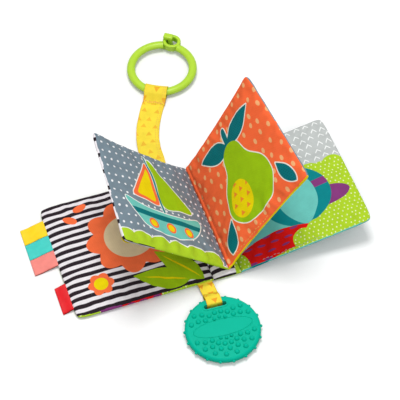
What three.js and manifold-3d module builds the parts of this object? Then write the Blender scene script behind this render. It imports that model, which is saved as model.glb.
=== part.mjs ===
// A soft cloth crinkle book, lying open: two padded covers, two padded inner leaves that stand up
// in a V from the spine, ribbon tags, a plastic link ring on a strap and a bumpy teether on a loop.
// Millimetres, +Z up. X runs across the open book, Y along the spine towards the ring. The origin
// is the middle of the spine, on the table.

import * as THREE from 'three';
import { mergeVertices } from 'three/addons/utils/BufferGeometryUtils.js';
import Module from 'manifold-3d';

const wasm = await Module();
wasm.setup();

// Cloth, film and gaps between the layers
const clothThickness = 0.5;
const filmThickness = 0.4;
const ribbonThickness = 0.6;
const layerGap = 0.3;
const seamGap = 0.3;
const hingeGap = 0.4;
const tableGap = 0.1;

// Leaves
const coverHeight = 146.4;
const coverWidth = 147;
const innerLeafHeight = 140;
const innerLeafWidth = 141.5;
const innerDrawnIn = 0.3;
const cornerRound = 2.4;
const coverTopCrown = 4.3;
const coverSeamHeight = 3;
const innerCrown = 3.3;
const rightCoverTilt = THREE.MathUtils.degToRad(11);
const leftLeafFrontTilt = THREE.MathUtils.degToRad(42.6);
const leftLeafBackTilt = THREE.MathUtils.degToRad(47.4);
const rightLeafFrontTilt = THREE.MathUtils.degToRad(56);
const rightLeafBackTilt = THREE.MathUtils.degToRad(63.4);

// Spine and the sewn hems that carry the inner leaves
const spineWidth = 30.4;
const spineTopCrown = 6.3;
const coverHingeInset = 0.8;
const coverRootGap = 0.1;
const foldX = 2;
const foldHeight = 11;
const foldSpread = 3;
const hemWidth = 3.75;
const hemShortfall = 2;

// Tags on the left cover's outer edge
const ribbonTagWidth = 19.9;
const ribbonTagLength = 26;
const ribbonTagGap = 0.4;
const ribbonTagsFromBack = 65.8;
const labelTagWidth = 33;
const labelTagLength = 11.5;
const labelTagFromFront = 29.6;
const tagSkewShare = 0.14;
const tagGap = 0.5;

// Ring strap and link ring
const ringStrapWidth = 25.4;
// The strap's middle line: sideways places at distances beyond the cover's back seam, the first at
// the seam and the second where the sewn end stops and the free strap can lift
const ringStrapRoute = [[-29.3, 0], [-28.4, 8.2], [-26.5, 18.2], [-25.1, 30.2], [-24.6, 42.2],
  [-21.8, 57.2], [-16.3, 73.2], [-10.4, 85.7], [-4.8, 96.2]];
const strapSteps = 24;
const sewnEndSteps = 6;
// How far the two plies of a loop are sewn together
const pliesJoined = 1.8;
const strapSeamGap = 0.6;
const ringRadius = 35.4;
const ringTube = 4.7;
const ringTubeHalfHeight = 3.9;
const ringX = 24.5;
const ringReach = 147.6;
const strapAngle = THREE.MathUtils.degToRad(241);
const loopClearance = 0.6;
const stitchLineRadius = 12.1;
const lockAngle = THREE.MathUtils.degToRad(55);
const eyeletOffset = 4.2;
const eyeletLength = 21;
const eyeletWidth = 19.8;
const eyeletWall = 3.8;
const eyeletHeight = 8.4;
const lockClearance = 0.5;
const pegLength = 11;
const pegWidth = 7.4;
const pegCorner = 2.6;
const pegAlong = 4.8;
const pegOut = 2.4;
const pegRise = 5.2;
const tongueHeight = 2.6;
const tongueInset = 1.6;
const tongueWidth = 6;
const heelLength = 2.6;
const heelWidth = 3.6;

// Teether and its strap
const teetherRadius = 38.8;
const teetherThickness = 7.6;
const teetherEdge = 3.4;
const teetherX = -27;
const teetherReach = 60.6;
const teetherTurn = THREE.MathUtils.degToRad(-3);
const bumpHeight = 1;
const bumpRadius = 1.9;
const smallBumpRadius = 1.4;
const rimNubRadius = 1.6;
const rimNubCount = 18;
const firstBumpRing = 13;
const bumpRingPitch = 6.3;
const bumpRingCounts = [14, 18, 18, 18];
// How far past the panel's edge, in its own oval measure, a bump has to lie
const panelClearShare = 1.25;
const slotLength = 24;
const slotWidth = 5;
const slotDistance = 27.6;
const slotLipWidth = 1.8;
const slotLipHeight = 0.5;
const panelLength = 62;
const panelWidth = 20;
const panelDepth = 0.6;
const teetherStrapWidth = 16;
const teetherStrapX = -25.7;
const creaseDistance = 46.4;
const creaseHeight = 2.6;

// Segments round each form
const ringSteps = 56;
const tubeCurveSegments = 5;
const loopSlices = 8;
const loopArcSteps = 12;
const eyeletSegments = 12;
const pegSegments = 3;
const teetherSegments = 48;
const teetherEdgeSteps = 5;
const slotSegments = 8;
const panelSegments = 24;
const bumpSegments = [6, 4];

// Overrun of a cut past the faces that it goes through
const overrun = 1;

// Row places over half a leaf, as shares of the half side from the edge to the middle
const rowShares = [0, 0.03, 0.1, 0.28, 0.6];
const spineRowShares = { across: [0, 0.04, 0.15, 0.35, 0.65], along: [0, 0.03, 0.1, 0.2, 0.4, 0.7] };
// How far into the crown the underside of a cover is already flat on the table
const flatShare = 0.5;
// Where along a ribbon its cross direction has left the seam's and starts to turn to the far end's
const turnedShare = 0.35;
const turningShare = 0.75;

const frontEdgeY = -coverHeight / 2;
const backEdgeY = coverHeight / 2;
const ringY = backEdgeY + ringReach;
const teetherY = frontEdgeY - teetherReach;
const seamHalf = seamGap / 2 + clothThickness;
const coverBottomCrown = coverSeamHeight - seamHalf;
const loopOuter = ringTube + loopClearance + ribbonThickness;
const ringCentreHeight = loopOuter + tableGap;
// The ring leans from the loop to the tongue under its eyelet, which holds the lock off the table
const tongueDepth = eyeletHeight / 2 + lockClearance + tongueHeight;
const ringDrop = ringCentreHeight - tongueDepth - tableGap;
const ringTilt = Math.asin(ringDrop / (2 * ringRadius - tongueInset));
const strapHalf = ribbonThickness + tableGap;

const book = new THREE.Group();

const finishes = {
  pageCloth: { color: 0xede8ec, roughness: 0.75 },
  slateCloth: { color: 0x6e7f8a, roughness: 0.75 },
  coralCloth: { color: 0xf0653c, roughness: 0.75 },
  limeCloth: { color: 0x9dc50e, roughness: 0.75 },
  greyCloth: { color: 0xc3c7c5, roughness: 0.75 },
  aquaCloth: { color: 0x6fc9bf, roughness: 0.75 },
  wadding: { color: 0xf2f0ea, roughness: 0.95 },
  crinkleFilm: { color: 0xdfe6ea, roughness: 0.25 },
  yellowRibbon: { color: 0xffdc2e, roughness: 0.6 },
  turquoiseSatin: { color: 0x45d8cc, roughness: 0.35 },
  pinkSatin: { color: 0xfa958c, roughness: 0.35 },
  yellowSatin: { color: 0xffde1e, roughness: 0.35 },
  redLabel: { color: 0xe8141f, roughness: 0.55 },
  limePlastic: { color: 0xa5dc30, roughness: 0.35 },
  tealRubber: { color: 0x00bfa3, roughness: 0.5 },
};

function addPiece(name, geometry, finish, parent = book) {
  const material = new THREE.MeshStandardMaterial({ metalness: 0, ...finishes[finish] });
  const mesh = new THREE.Mesh(geometry, material);
  mesh.name = name;
  parent.add(mesh);
  return mesh;
}

// Rows run over both halves of a side, from -1 to 1, denser near the edges
function rows(firstRow = 0, shares = rowShares) {
  const half = shares.slice(firstRow).map((share) => share - 1);
  return [...half, 0, ...half.map((place) => -place).reverse()];
}

// Closed solid between two surfaces over the same grid of places. upper and lower each turn a
// pair of grid places into a point.
function solidBetween(across, along, upper, lower) {
  const points = [];
  const faces = [];
  const columns = along.length;
  const layerSize = across.length * columns;
  for (const surface of [upper, lower]) {
    for (const s of across) {
      for (const t of along) points.push(...surface(s, t).toArray());
    }
  }
  const at = (i, j, layer) => layer * layerSize + i * columns + j;
  const quad = (a, b, c, d) => faces.push(a, b, c, a, c, d);
  for (let i = 0; i + 1 < across.length; i++) {
    for (let j = 0; j + 1 < columns; j++) {
      quad(at(i, j, 0), at(i + 1, j, 0), at(i + 1, j + 1, 0), at(i, j + 1, 0));
      quad(at(i, j, 1), at(i, j + 1, 1), at(i + 1, j + 1, 1), at(i + 1, j, 1));
    }
  }
  const last = across.length - 1;
  for (let j = 0; j + 1 < columns; j++) {
    quad(at(0, j, 0), at(0, j + 1, 0), at(0, j + 1, 1), at(0, j, 1));
    quad(at(last, j, 0), at(last, j, 1), at(last, j + 1, 1), at(last, j + 1, 0));
  }
  for (let i = 0; i < last; i++) {
    quad(at(i, 0, 0), at(i, 0, 1), at(i + 1, 0, 1), at(i + 1, 0, 0));
    const end = columns - 1;
    quad(at(i, end, 0), at(i + 1, end, 0), at(i + 1, end, 1), at(i, end, 1));
  }
  return facingOut(points, faces);
}

// Indexed geometry with its faces turned outwards
function facingOut(points, faces) {
  let volume = 0;
  const corner = (n) => new THREE.Vector3().fromArray(points, 3 * n);
  for (let n = 0; n < faces.length; n += 3) {
    const [a, b, c] = [corner(faces[n]), corner(faces[n + 1]), corner(faces[n + 2])];
    volume += a.dot(b.cross(c));
  }
  if (volume < 0) {
    for (let n = 0; n < faces.length; n += 3) [faces[n], faces[n + 1]] = [faces[n + 1], faces[n]];
  }
  const geometry = new THREE.BufferGeometry();
  geometry.setAttribute('position', new THREE.Float32BufferAttribute(points, 3));
  geometry.setIndex(faces);
  return geometry;
}

// A leaf is a padded panel that turns about a line along Y. s runs from the root, -1, to the free
// edge, 1, t from the front edge, -1, to the back edge, 1, and w is the height off its middle.
function leafPoint(leaf, s, t, w) {
  const corner = (Math.max(0, s) * t) ** 16 * leaf.cornerRound;
  const sidePull = Math.max(0, s) ** 3 * (1 - t * t) * leaf.drawnIn;
  const endPull = Math.abs(t) ** 3 * (1 - s * s) * leaf.drawnIn;
  const u = leaf.root + ((1 + s) / 2) * leaf.width - sidePull - s * corner;
  const v = (t * leaf.height) / 2 - Math.sign(t) * (endPull + Math.abs(t) * corner);
  const tilt = THREE.MathUtils.lerp(leaf.frontTilt, leaf.backTilt, (1 + t) / 2);
  const x = leaf.x + leaf.side * (u * Math.cos(tilt) - w * Math.sin(tilt));
  const z = leaf.z + u * Math.sin(tilt) + w * Math.cos(tilt);
  return new THREE.Vector3(x, v, z);
}

function crown(leaf, s, t) {
  return Math.sqrt((1 - Math.abs(s) ** leaf.acrossPower) * (1 - Math.abs(t) ** leaf.alongPower));
}

const insideTop = (leaf, s, t) => seamGap / 2 + leaf.topCrown * crown(leaf, s, t);
const insideBottom = (leaf, s, t) =>
  -seamGap / 2 - leaf.bottomCrown * Math.min(1, crown(leaf, s, t) / leaf.flatFrom);

// Heights of each layer's two faces off the leaf's middle
const layers = {
  topCloth: [
    (leaf, s, t) => insideTop(leaf, s, t) + clothThickness,
    (leaf, s, t) => insideTop(leaf, s, t),
  ],
  film: [
    (leaf, s, t) => insideTop(leaf, s, t) - layerGap,
    (leaf, s, t) => insideTop(leaf, s, t) - layerGap - filmThickness,
  ],
  wadding: [
    (leaf, s, t) => insideTop(leaf, s, t) - 2 * layerGap - filmThickness,
    (leaf, s, t) => insideBottom(leaf, s, t) + layerGap,
  ],
  fullWadding: [
    (leaf, s, t) => insideTop(leaf, s, t) - layerGap,
    (leaf, s, t) => insideBottom(leaf, s, t) + layerGap,
  ],
  bottomCloth: [
    (leaf, s, t) => insideBottom(leaf, s, t),
    (leaf, s, t) => insideBottom(leaf, s, t) - clothThickness,
  ],
};

function leafLayer(leaf, layer, firstRow) {
  const [upper, lower] = layers[layer];
  const surface = (height) => (s, t) => leafPoint(leaf, s, t, height(leaf, s, t));
  const across = rows(firstRow, leaf.acrossRows);
  return solidBetween(across, rows(firstRow, leaf.alongRows), surface(upper), surface(lower));
}

const leafShape = {
  height: innerLeafHeight,
  drawnIn: innerDrawnIn,
  cornerRound,
  acrossPower: 4,
  alongPower: 4,
};
const coverShape = {
  ...leafShape,
  height: coverHeight,
  drawnIn: 0,
  z: coverSeamHeight,
  root: coverRootGap,
  width: coverWidth,
  topCrown: coverTopCrown,
  bottomCrown: coverBottomCrown,
  flatFrom: flatShare,
};
const coverHingeX = spineWidth / 2 + coverHingeInset;
const leftCover = { ...coverShape, side: -1, x: -coverHingeX, frontTilt: 0, backTilt: 0 };
const rightCover = {
  ...coverShape,
  side: 1,
  x: coverHingeX,
  frontTilt: rightCoverTilt,
  backTilt: rightCoverTilt,
};
const innerShape = {
  ...leafShape,
  z: foldHeight,
  root: hemWidth + 2 * hingeGap,
  width: innerLeafWidth,
  topCrown: innerCrown,
  bottomCrown: innerCrown,
  flatFrom: 1,
};
const leftLeaf = {
  ...innerShape,
  side: -1,
  x: foldX - foldSpread / 2,
  frontTilt: leftLeafFrontTilt,
  backTilt: leftLeafBackTilt,
};
const rightLeaf = {
  ...innerShape,
  side: 1,
  x: foldX + foldSpread / 2,
  frontTilt: rightLeafFrontTilt,
  backTilt: rightLeafBackTilt,
};
const spine = {
  ...leafShape,
  side: 1,
  x: -spineWidth / 2,
  z: coverSeamHeight,
  root: 0,
  width: spineWidth,
  height: coverHeight,
  drawnIn: 0,
  cornerRound: 0,
  frontTilt: 0,
  backTilt: 0,
  acrossPower: 2,
  alongPower: 8,
  topCrown: spineTopCrown,
  bottomCrown: coverBottomCrown,
  flatFrom: flatShare,
  acrossRows: spineRowShares.across,
  alongRows: spineRowShares.along,
};

// Each padded leaf: two cloth panels sewn round their edges, a crinkle film and a wadding pad
function addLeaf(name, leaf, insideFinish, outsideFinish) {
  addPiece(`${name}_inside_panel`, leafLayer(leaf, 'topCloth', 0), insideFinish);
  addPiece(`${name}_crinkle_film`, leafLayer(leaf, 'film', 2), 'crinkleFilm');
  addPiece(`${name}_wadding_pad`, leafLayer(leaf, 'wadding', 2), 'wadding');
  addPiece(`${name}_outside_panel`, leafLayer(leaf, 'bottomCloth', 0), outsideFinish);
}

function addSpine() {
  addPiece('spine_inside_strip', leafLayer(spine, 'topCloth', 0), 'pageCloth');
  addPiece('spine_wadding', leafLayer(spine, 'fullWadding', 2), 'wadding');
  addPiece('spine_outside_strip', leafLayer(spine, 'bottomCloth', 0), 'limeCloth');
}

// The hem is the unpadded strip at a leaf's root, sewn down to the spine
function addHem(name, leaf, finish) {
  const hem = {
    ...leaf,
    root: -hingeGap,
    width: hemWidth + hingeGap,
    height: innerLeafHeight - hemShortfall,
    drawnIn: 0,
  };
  const surface = (height) => (s, t) => leafPoint(hem, s, t, height);
  addPiece(name, solidBetween([-1, 1], rows(1), surface(seamHalf), surface(-seamHalf)), finish);
}

// A tag is a short ribbon folded in two, its ends sewn into the left cover's outer edge
function addTag(name, middleY, width, length, finish) {
  const edge = (y) => leafPoint(leftCover, 1, (2 * y) / coverHeight, 0).x - tagGap;
  const surface = (offset) => (s, t) => {
    const out = (1 + s) / 2;
    const rootY = middleY + (t * width) / 2;
    const drop = THREE.MathUtils.lerp(coverSeamHeight, strapHalf + tableGap, out);
    return new THREE.Vector3(edge(rootY) - out * length, rootY - out * length * tagSkewShare, drop + offset);
  };
  const [upper, lower] = [surface(ribbonThickness), surface(-ribbonThickness)];
  addPiece(name, solidBetween([-1, -0.5, 0, 0.5, 1], [-1, 0, 1], upper, lower), finish);
}

function addTags() {
  const pitch = ribbonTagWidth + ribbonTagGap;
  const lowestY = backEdgeY - ribbonTagsFromBack;
  const ribbons = ['pinkSatin', 'turquoiseSatin', 'yellowSatin'];
  const names = ['pink_ribbon_tag', 'turquoise_ribbon_tag', 'yellow_ribbon_tag'];
  names.forEach((name, n) => {
    addTag(name, lowestY + n * pitch, ribbonTagWidth, ribbonTagLength, ribbons[n]);
  });
  addTag('red_label_tag', frontEdgeY + labelTagFromFront, labelTagWidth, labelTagLength, 'redLabel');
}

// A flat ribbon along a path, its cross direction turning from the seam's to the far end's
function ribbonAlong(path, width, seamDirection, endDirection, steps) {
  const surface = (offset) => (s, t) => {
    const share = (1 + s) / 2;
    const point = path.getPoint(share);
    const forward = path.getTangent(share);
    const normal = new THREE.Vector3(forward.y, -forward.x, 0).normalize();
    if (normal.dot(endDirection) < 0) normal.negate();
    const fromSeam = THREE.MathUtils.smoothstep(share, 0, turnedShare);
    const toEnd = THREE.MathUtils.smoothstep(share, turningShare, 1);
    const cross = seamDirection.clone().lerp(normal, fromSeam).lerp(endDirection, toEnd).normalize();
    return point.addScaledVector(cross, (t * width) / 2).setZ(point.z + offset);
  };
  const along = Array.from({ length: steps + 1 }, (_, n) => (2 * n) / steps - 1);
  return solidBetween(along, [-1, 0, 1], surface(ribbonThickness), surface(-ribbonThickness));
}

const strapOut = new THREE.Vector3(Math.cos(strapAngle), Math.sin(strapAngle), 0);
const strapCross = new THREE.Vector3(-strapOut.y, strapOut.x, 0);
const acrossBook = new THREE.Vector3(1, 0, 0);
const ringCentre = new THREE.Vector3(ringX, ringY, ringCentreHeight);

// The strap leaves the left cover's back seam beside the spine and curves over to the ring. Its
// sewn end is a piece of its own, at whose far edge the free strap lifts.
function addRingStrap() {
  const seamY = backEdgeY + strapSeamGap;
  const [seam, fold, ...free] = ringStrapRoute.map(([x, distance], n) => {
    return new THREE.Vector3(x, seamY + distance, n === 0 ? coverSeamHeight : strapHalf);
  });
  const foldGap = fold.clone().sub(seam).setZ(0).setLength(hingeGap / 2);
  const foldStart = fold.clone().sub(foldGap);
  const bend = seam.clone().lerp(foldStart, 0.5).setZ(strapHalf + ribbonThickness);
  const sewn = new THREE.CatmullRomCurve3([seam, bend, foldStart], false, 'centripetal');
  const sewnEnd = ribbonAlong(sewn, ringStrapWidth, acrossBook, acrossBook, sewnEndSteps);
  addPiece('ring_strap_sewn_end', sewnEnd, 'yellowRibbon');
  const end = ringCentre.clone().addScaledVector(strapOut, ringRadius + stitchLineRadius + hingeGap);
  const points = [fold.clone().add(foldGap), ...free, end.setZ(strapHalf)];
  const path = new THREE.CatmullRomCurve3(points, false, 'centripetal');
  const cross = strapCross.clone();
  addPiece('ring_strap', ribbonAlong(path, ringStrapWidth, acrossBook, cross, strapSteps), 'yellowRibbon');
}

// Drop shape round the ring's tube, its point at the line of cross stitches. radius is the round
// end's, reach the point's distance from the tube's middle.
function dropOutline(radius, reach, pointHalf) {
  const tangent = Math.acos(radius / reach);
  const outline = [[reach, pointHalf]];
  for (let n = 0; n <= loopArcSteps; n++) {
    const angle = THREE.MathUtils.lerp(tangent, 2 * Math.PI - tangent, n / loopArcSteps);
    outline.push([radius * Math.cos(angle), radius * Math.sin(angle)]);
  }
  outline.push([reach, -pointHalf]);
  return outline;
}

// Closed sleeve of ribbon: an outer and an inner outline with as many points each, carried along
// slices by place(ply, outlinePoint, slice share)
function sleeve(outlines, slices, place) {
  const count = outlines[0].length;
  const points = [];
  const faces = [];
  for (let n = 0; n <= slices; n++) {
    outlines.forEach((outline, ply) => {
      for (const spot of outline) points.push(...place(ply, spot, n / slices - 0.5).toArray());
    });
  }
  const at = (slice, ply, k) => (2 * slice + ply) * count + (k % count);
  const quad = (a, b, c, d) => faces.push(a, b, c, a, c, d);
  for (let k = 0; k < count; k++) {
    for (let n = 0; n < slices; n++) {
      quad(at(n, 0, k), at(n, 0, k + 1), at(n + 1, 0, k + 1), at(n + 1, 0, k));
      quad(at(n, 1, k), at(n + 1, 1, k), at(n + 1, 1, k + 1), at(n, 1, k + 1));
    }
    quad(at(0, 0, k), at(0, 1, k), at(0, 1, k + 1), at(0, 0, k + 1));
    quad(at(slices, 0, k), at(slices, 0, k + 1), at(slices, 1, k + 1), at(slices, 1, k));
  }
  return facingOut(points, faces);
}

// The strap's end loop: a sleeve that follows the ring's bend and lies flat underneath
function addRingLoop() {
  const outer = dropOutline(loopOuter, stitchLineRadius, strapHalf - tableGap);
  const inner = dropOutline(loopOuter - ribbonThickness, stitchLineRadius - pliesJoined, tableGap);
  const floors = [tableGap, tableGap + ribbonThickness];
  const place = (ply, [out, up], sliceShare) => {
    const side = ringStrapWidth * sliceShare;
    const bend = ringRadius - Math.sqrt(ringRadius ** 2 - side ** 2);
    const share = Math.max(0, out - loopOuter) / (stitchLineRadius - loopOuter);
    const lift = THREE.MathUtils.lerp(ringCentreHeight, strapHalf, share);
    const point = new THREE.Vector3(ringX, ringY, Math.max(lift + up, floors[ply]));
    point.addScaledVector(strapOut, ringRadius + out - bend * (1 - Math.max(0, out) / stitchLineRadius));
    return point.addScaledVector(strapCross, side);
  };
  addPiece('ring_strap_loop', sleeve([outer, inner], loopSlices, place), 'yellowRibbon');
}

// Geometry to solid and back, for joins and cuts
function toSolid(geometry, place = new THREE.Matrix4()) {
  const plain = geometry.clone().applyMatrix4(place);
  plain.deleteAttribute('normal');
  plain.deleteAttribute('uv');
  const merged = mergeVertices(plain, 1e-4);
  const vertProperties = new Float32Array(merged.attributes.position.array);
  const triVerts = new Uint32Array(merged.index.array);
  return new wasm.Manifold(new wasm.Mesh({ numProp: 3, vertProperties, triVerts }));
}

function toGeometry(solid) {
  const mesh = solid.getMesh();
  const geometry = new THREE.BufferGeometry();
  geometry.setAttribute('position', new THREE.BufferAttribute(new Float32Array(mesh.vertProperties), 3));
  geometry.setIndex(new THREE.BufferAttribute(new Uint32Array(mesh.triVerts), 1));
  return geometry;
}

const moved = (x, y, z) => new THREE.Matrix4().makeTranslation(x, y, z);

// Upright prism over an oval or rounded outline, from one height to another
function prism(shape, low, high, segments) {
  const settings = { depth: high - low, bevelEnabled: false, curveSegments: segments };
  return toSolid(new THREE.ExtrudeGeometry(shape, settings), moved(0, 0, low));
}

function ovalShape(length, width) {
  const shape = new THREE.Shape();
  shape.absellipse(0, 0, length / 2, width / 2, 0, 2 * Math.PI);
  return shape;
}

function slotShape(length, width) {
  const shape = new THREE.Shape();
  const straight = (length - width) / 2;
  shape.absarc(straight, 0, width / 2, -Math.PI / 2, Math.PI / 2);
  shape.absarc(-straight, 0, width / 2, Math.PI / 2, (3 * Math.PI) / 2);
  shape.closePath();
  return shape;
}

function roundedShape(length, width, corner) {
  const shape = new THREE.Shape();
  const [halfLength, halfWidth] = [length / 2 - corner, width / 2 - corner];
  shape.absarc(halfLength, halfWidth, corner, 0, Math.PI / 2);
  shape.absarc(-halfLength, halfWidth, corner, Math.PI / 2, Math.PI);
  shape.absarc(-halfLength, -halfWidth, corner, Math.PI, (3 * Math.PI) / 2);
  shape.absarc(halfLength, -halfWidth, corner, (3 * Math.PI) / 2, 2 * Math.PI);
  shape.closePath();
  return shape;
}

// Box between two corners
function boxBetween(from, to) {
  const size = to.map((value, n) => value - from[n]);
  const middle = to.map((value, n) => (value + from[n]) / 2);
  return toSolid(new THREE.BoxGeometry(...size), moved(...middle));
}

// The ring's tube round its middle, X through the lock, with both ends inside the eyelet's wall
function ringTubeSolid() {
  const endAngle = (eyeletLength - eyeletWall) / 2 / ringRadius;
  const round = new THREE.Curve();
  round.getPoint = (share) => {
    const angle = THREE.MathUtils.lerp(endAngle, 2 * Math.PI - endAngle, share);
    return new THREE.Vector3(ringRadius * Math.cos(angle), ringRadius * Math.sin(angle), 0);
  };
  const section = new THREE.Shape();
  section.absellipse(0, 0, ringTube, ringTube, 0, 2 * Math.PI);
  const settings = { steps: ringSteps, curveSegments: tubeCurveSegments, extrudePath: round };
  const flatten = new THREE.Matrix4().makeScale(1, 1, ringTubeHalfHeight / ringTube);
  return toSolid(new THREE.ExtrudeGeometry(section, settings), flatten);
}

// One lime moulding: a ring open at its lock, an oval eyelet on one end, and on the other end a heel
// and a tongue that go in under the eyelet's wall and turn up as a peg with a wide head
function addLinkRing() {
  const rim = eyeletHeight / 2;
  const middle = ringRadius + eyeletOffset;
  const eyeletTurn = new THREE.Matrix4().makeRotationZ(Math.PI / 2).setPosition(middle, 0, 0);
  const oval = (extra, low, high) => {
    const shape = ovalShape(eyeletLength + extra, eyeletWidth + extra);
    return prism(shape, low, high, eyeletSegments).transform(eyeletTurn.elements);
  };
  const hole = oval(-2 * eyeletWall, -rim - overrun, rim + overrun);
  const clearHole = oval(-2 * (eyeletWall + lockClearance), -tongueDepth, rim + pegRise);
  const freeSide = boxBetween([0, 0, -eyeletLength], [2 * middle, 2 * eyeletLength, eyeletLength]);
  const clearEyelet = oval(2 * lockClearance, -rim - overrun, rim + overrun).intersect(freeSide);
  const pegFrom = [middle + pegOut - pegWidth / 2, pegAlong - pegLength / 2];
  const pegTo = [middle + pegOut + pegWidth / 2, pegAlong + pegLength / 2];
  const headTurn = new THREE.Matrix4().makeRotationZ(Math.PI / 2).setPosition(middle + pegOut, pegAlong, 0);
  const headShape = roundedShape(pegLength, pegWidth, pegCorner);
  const head = prism(headShape, rim + lockClearance, rim + pegRise, pegSegments).transform(headTurn.elements);
  const stem = boxBetween([...pegFrom, -tongueDepth], [...pegTo, rim + pegRise / 2]).intersect(clearHole);
  const tongueFrom = ringRadius - tongueInset;
  const heelFrom = eyeletLength / 2 + lockClearance;
  const tongueTop = tongueHeight - tongueDepth;
  const foot = boxBetween([...pegFrom, -tongueDepth], [pegTo[0], heelFrom, tongueTop])
    .intersect(oval(0, -tongueDepth, tongueTop));
  const tongue = boxBetween(
    [tongueFrom, pegFrom[1] + pegLength / 2, -tongueDepth],
    [tongueFrom + tongueWidth, heelFrom + heelLength, tongueTop]);
  const heel = boxBetween(
    [tongueFrom, heelFrom, -tongueDepth], [tongueFrom + heelWidth, heelFrom + heelLength, 0]);
  const eyelet = oval(0, -rim, rim).subtract(hole);
  const tube = ringTubeSolid().subtract(hole).subtract(clearEyelet);
  const solid = tube.add(eyelet).add(foot).add(tongue).add(heel).add(stem).add(head);
  const spin = new THREE.Group();
  spin.position.copy(ringCentre);
  spin.position.z -= ringRadius * Math.sin(ringTilt);
  spin.setRotationFromAxisAngle(strapCross, -ringTilt);
  const turned = new THREE.Group();
  turned.rotation.z = lockAngle;
  spin.add(turned);
  book.add(spin);
  addPiece('link_ring', toGeometry(solid), 'limePlastic', turned);
}

const teetherBase = tableGap + bumpHeight;
const teetherTop = teetherBase + teetherThickness;

// Disc with a rounded edge, from its axis out
function teetherBody() {
  const outline = [new THREE.Vector2(0, teetherBase)];
  for (const [height, from] of [[teetherBase + teetherEdge, -90], [teetherTop - teetherEdge, 0]]) {
    for (let n = 0; n <= teetherEdgeSteps; n++) {
      const angle = THREE.MathUtils.degToRad(from + (90 * n) / teetherEdgeSteps);
      const x = teetherRadius - teetherEdge + teetherEdge * Math.cos(angle);
      outline.push(new THREE.Vector2(x, height + teetherEdge * Math.sin(angle)));
    }
  }
  outline.push(new THREE.Vector2(0, teetherTop));
  const lathe = new THREE.LatheGeometry(outline, teetherSegments);
  return toSolid(lathe, new THREE.Matrix4().makeRotationX(Math.PI / 2));
}

// Bumps on rings round the disc, every other ring half a step on, where they clear the oval panel
// and the slot's lip
function bumpPlaces() {
  const places = [];
  const slotReach = [slotLength / 2 + slotLipWidth, slotWidth / 2 + slotLipWidth];
  bumpRingCounts.forEach((count, ring) => {
    const radius = firstBumpRing + ring * bumpRingPitch;
    const size = ring === 0 ? smallBumpRadius : bumpRadius;
    for (let n = 0; n < count; n++) {
      const angle = Math.PI / 2 + (2 * Math.PI * (n + (ring % 2) / 2)) / count;
      const [x, y] = [radius * Math.cos(angle), radius * Math.sin(angle)];
      const onPanel = (2 * x / panelLength) ** 2 + (2 * y / panelWidth) ** 2 < panelClearShare;
      const besideSlot = Math.abs(x) < slotReach[0] + size;
      const atSlot = besideSlot && Math.abs(y - slotDistance) < slotReach[1] + size;
      if (!onPanel && !atSlot) places.push([x, y, size]);
    }
  });
  return places;
}

function bump(radius, height, place) {
  const dome = new THREE.SphereGeometry(radius, ...bumpSegments).rotateX(Math.PI / 2);
  return toSolid(dome.scale(1, 1, height / radius), place);
}

function addTeether() {
  let solid = teetherBody();
  const joined = [];
  for (const [x, y, radius] of bumpPlaces()) {
    joined.push(bump(radius, bumpHeight, moved(x, y, teetherTop)));
    joined.push(bump(radius, bumpHeight, moved(x, y, teetherBase)));
  }
  for (let n = 1; n < rimNubCount; n++) {
    const angle = Math.PI / 2 + (2 * Math.PI * n) / rimNubCount;
    const middle = (teetherBase + teetherTop) / 2;
    const place = moved(teetherRadius * Math.cos(angle), teetherRadius * Math.sin(angle), middle);
    joined.push(bump(rimNubRadius, rimNubRadius, place));
  }
  const slotPlace = moved(0, slotDistance, 0).elements;
  const lip = slotShape(slotLength + 2 * slotLipWidth, slotWidth + 2 * slotLipWidth);
  const lipTop = teetherTop + slotLipHeight;
  joined.push(prism(lip, teetherBase + overrun, lipTop, slotSegments).transform(slotPlace));
  for (const extra of joined) solid = solid.add(extra);
  const slotHole = slotShape(slotLength, slotWidth);
  const slot = prism(slotHole, -overrun, teetherTop + 2 * overrun, slotSegments).transform(slotPlace);
  const panelShape = ovalShape(panelLength, panelWidth);
  const panel = prism(panelShape, teetherTop - panelDepth, teetherTop + overrun, panelSegments);
  solid = solid.subtract(slot).subtract(panel);
  const place = new THREE.Group();
  place.position.set(teetherX, teetherY, 0);
  place.rotation.z = teetherTurn;
  book.add(place);
  addPiece('teether', toGeometry(solid), 'tealRubber', place);
  addTeetherLoop(place);
}

// The ribbon's end loop: over the disc's rim, down through the slot and back under the rim
function addTeetherLoop(place) {
  const topFace = teetherTop + slotLipHeight + layerGap;
  const bottomFace = teetherBase - layerGap;
  const slotFace = slotDistance + slotWidth / 2 - layerGap;
  const rimFace = teetherRadius + layerGap;
  const creaseY = creaseDistance - hingeGap;
  const ply = ribbonThickness;
  const joinedY = creaseY - pliesJoined;
  const outer = [
    [creaseY, creaseHeight + ply], [rimFace + ply, topFace], [rimFace - ply, topFace + ply],
    [slotFace, topFace + ply], [slotFace - ply, topFace], [slotFace - ply, bottomFace],
    [slotFace, bottomFace - ply], [rimFace, bottomFace - ply], [creaseY, creaseHeight - ply],
  ];
  const inner = [
    [joinedY, creaseHeight + layerGap / 2], [rimFace, topFace - ply], [rimFace - ply, topFace],
    [slotFace + ply, topFace], [slotFace, topFace - ply], [slotFace, bottomFace + ply],
    [slotFace + ply, bottomFace], [rimFace - ply, bottomFace], [joinedY, creaseHeight - layerGap / 2],
  ];
  const spot = (ply, [y, z], sliceShare) => new THREE.Vector3(sliceShare * teetherStrapWidth, y, z);
  addPiece('teether_strap_loop', sleeve([outer, inner], 1, spot), 'yellowRibbon', place);
}

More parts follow.
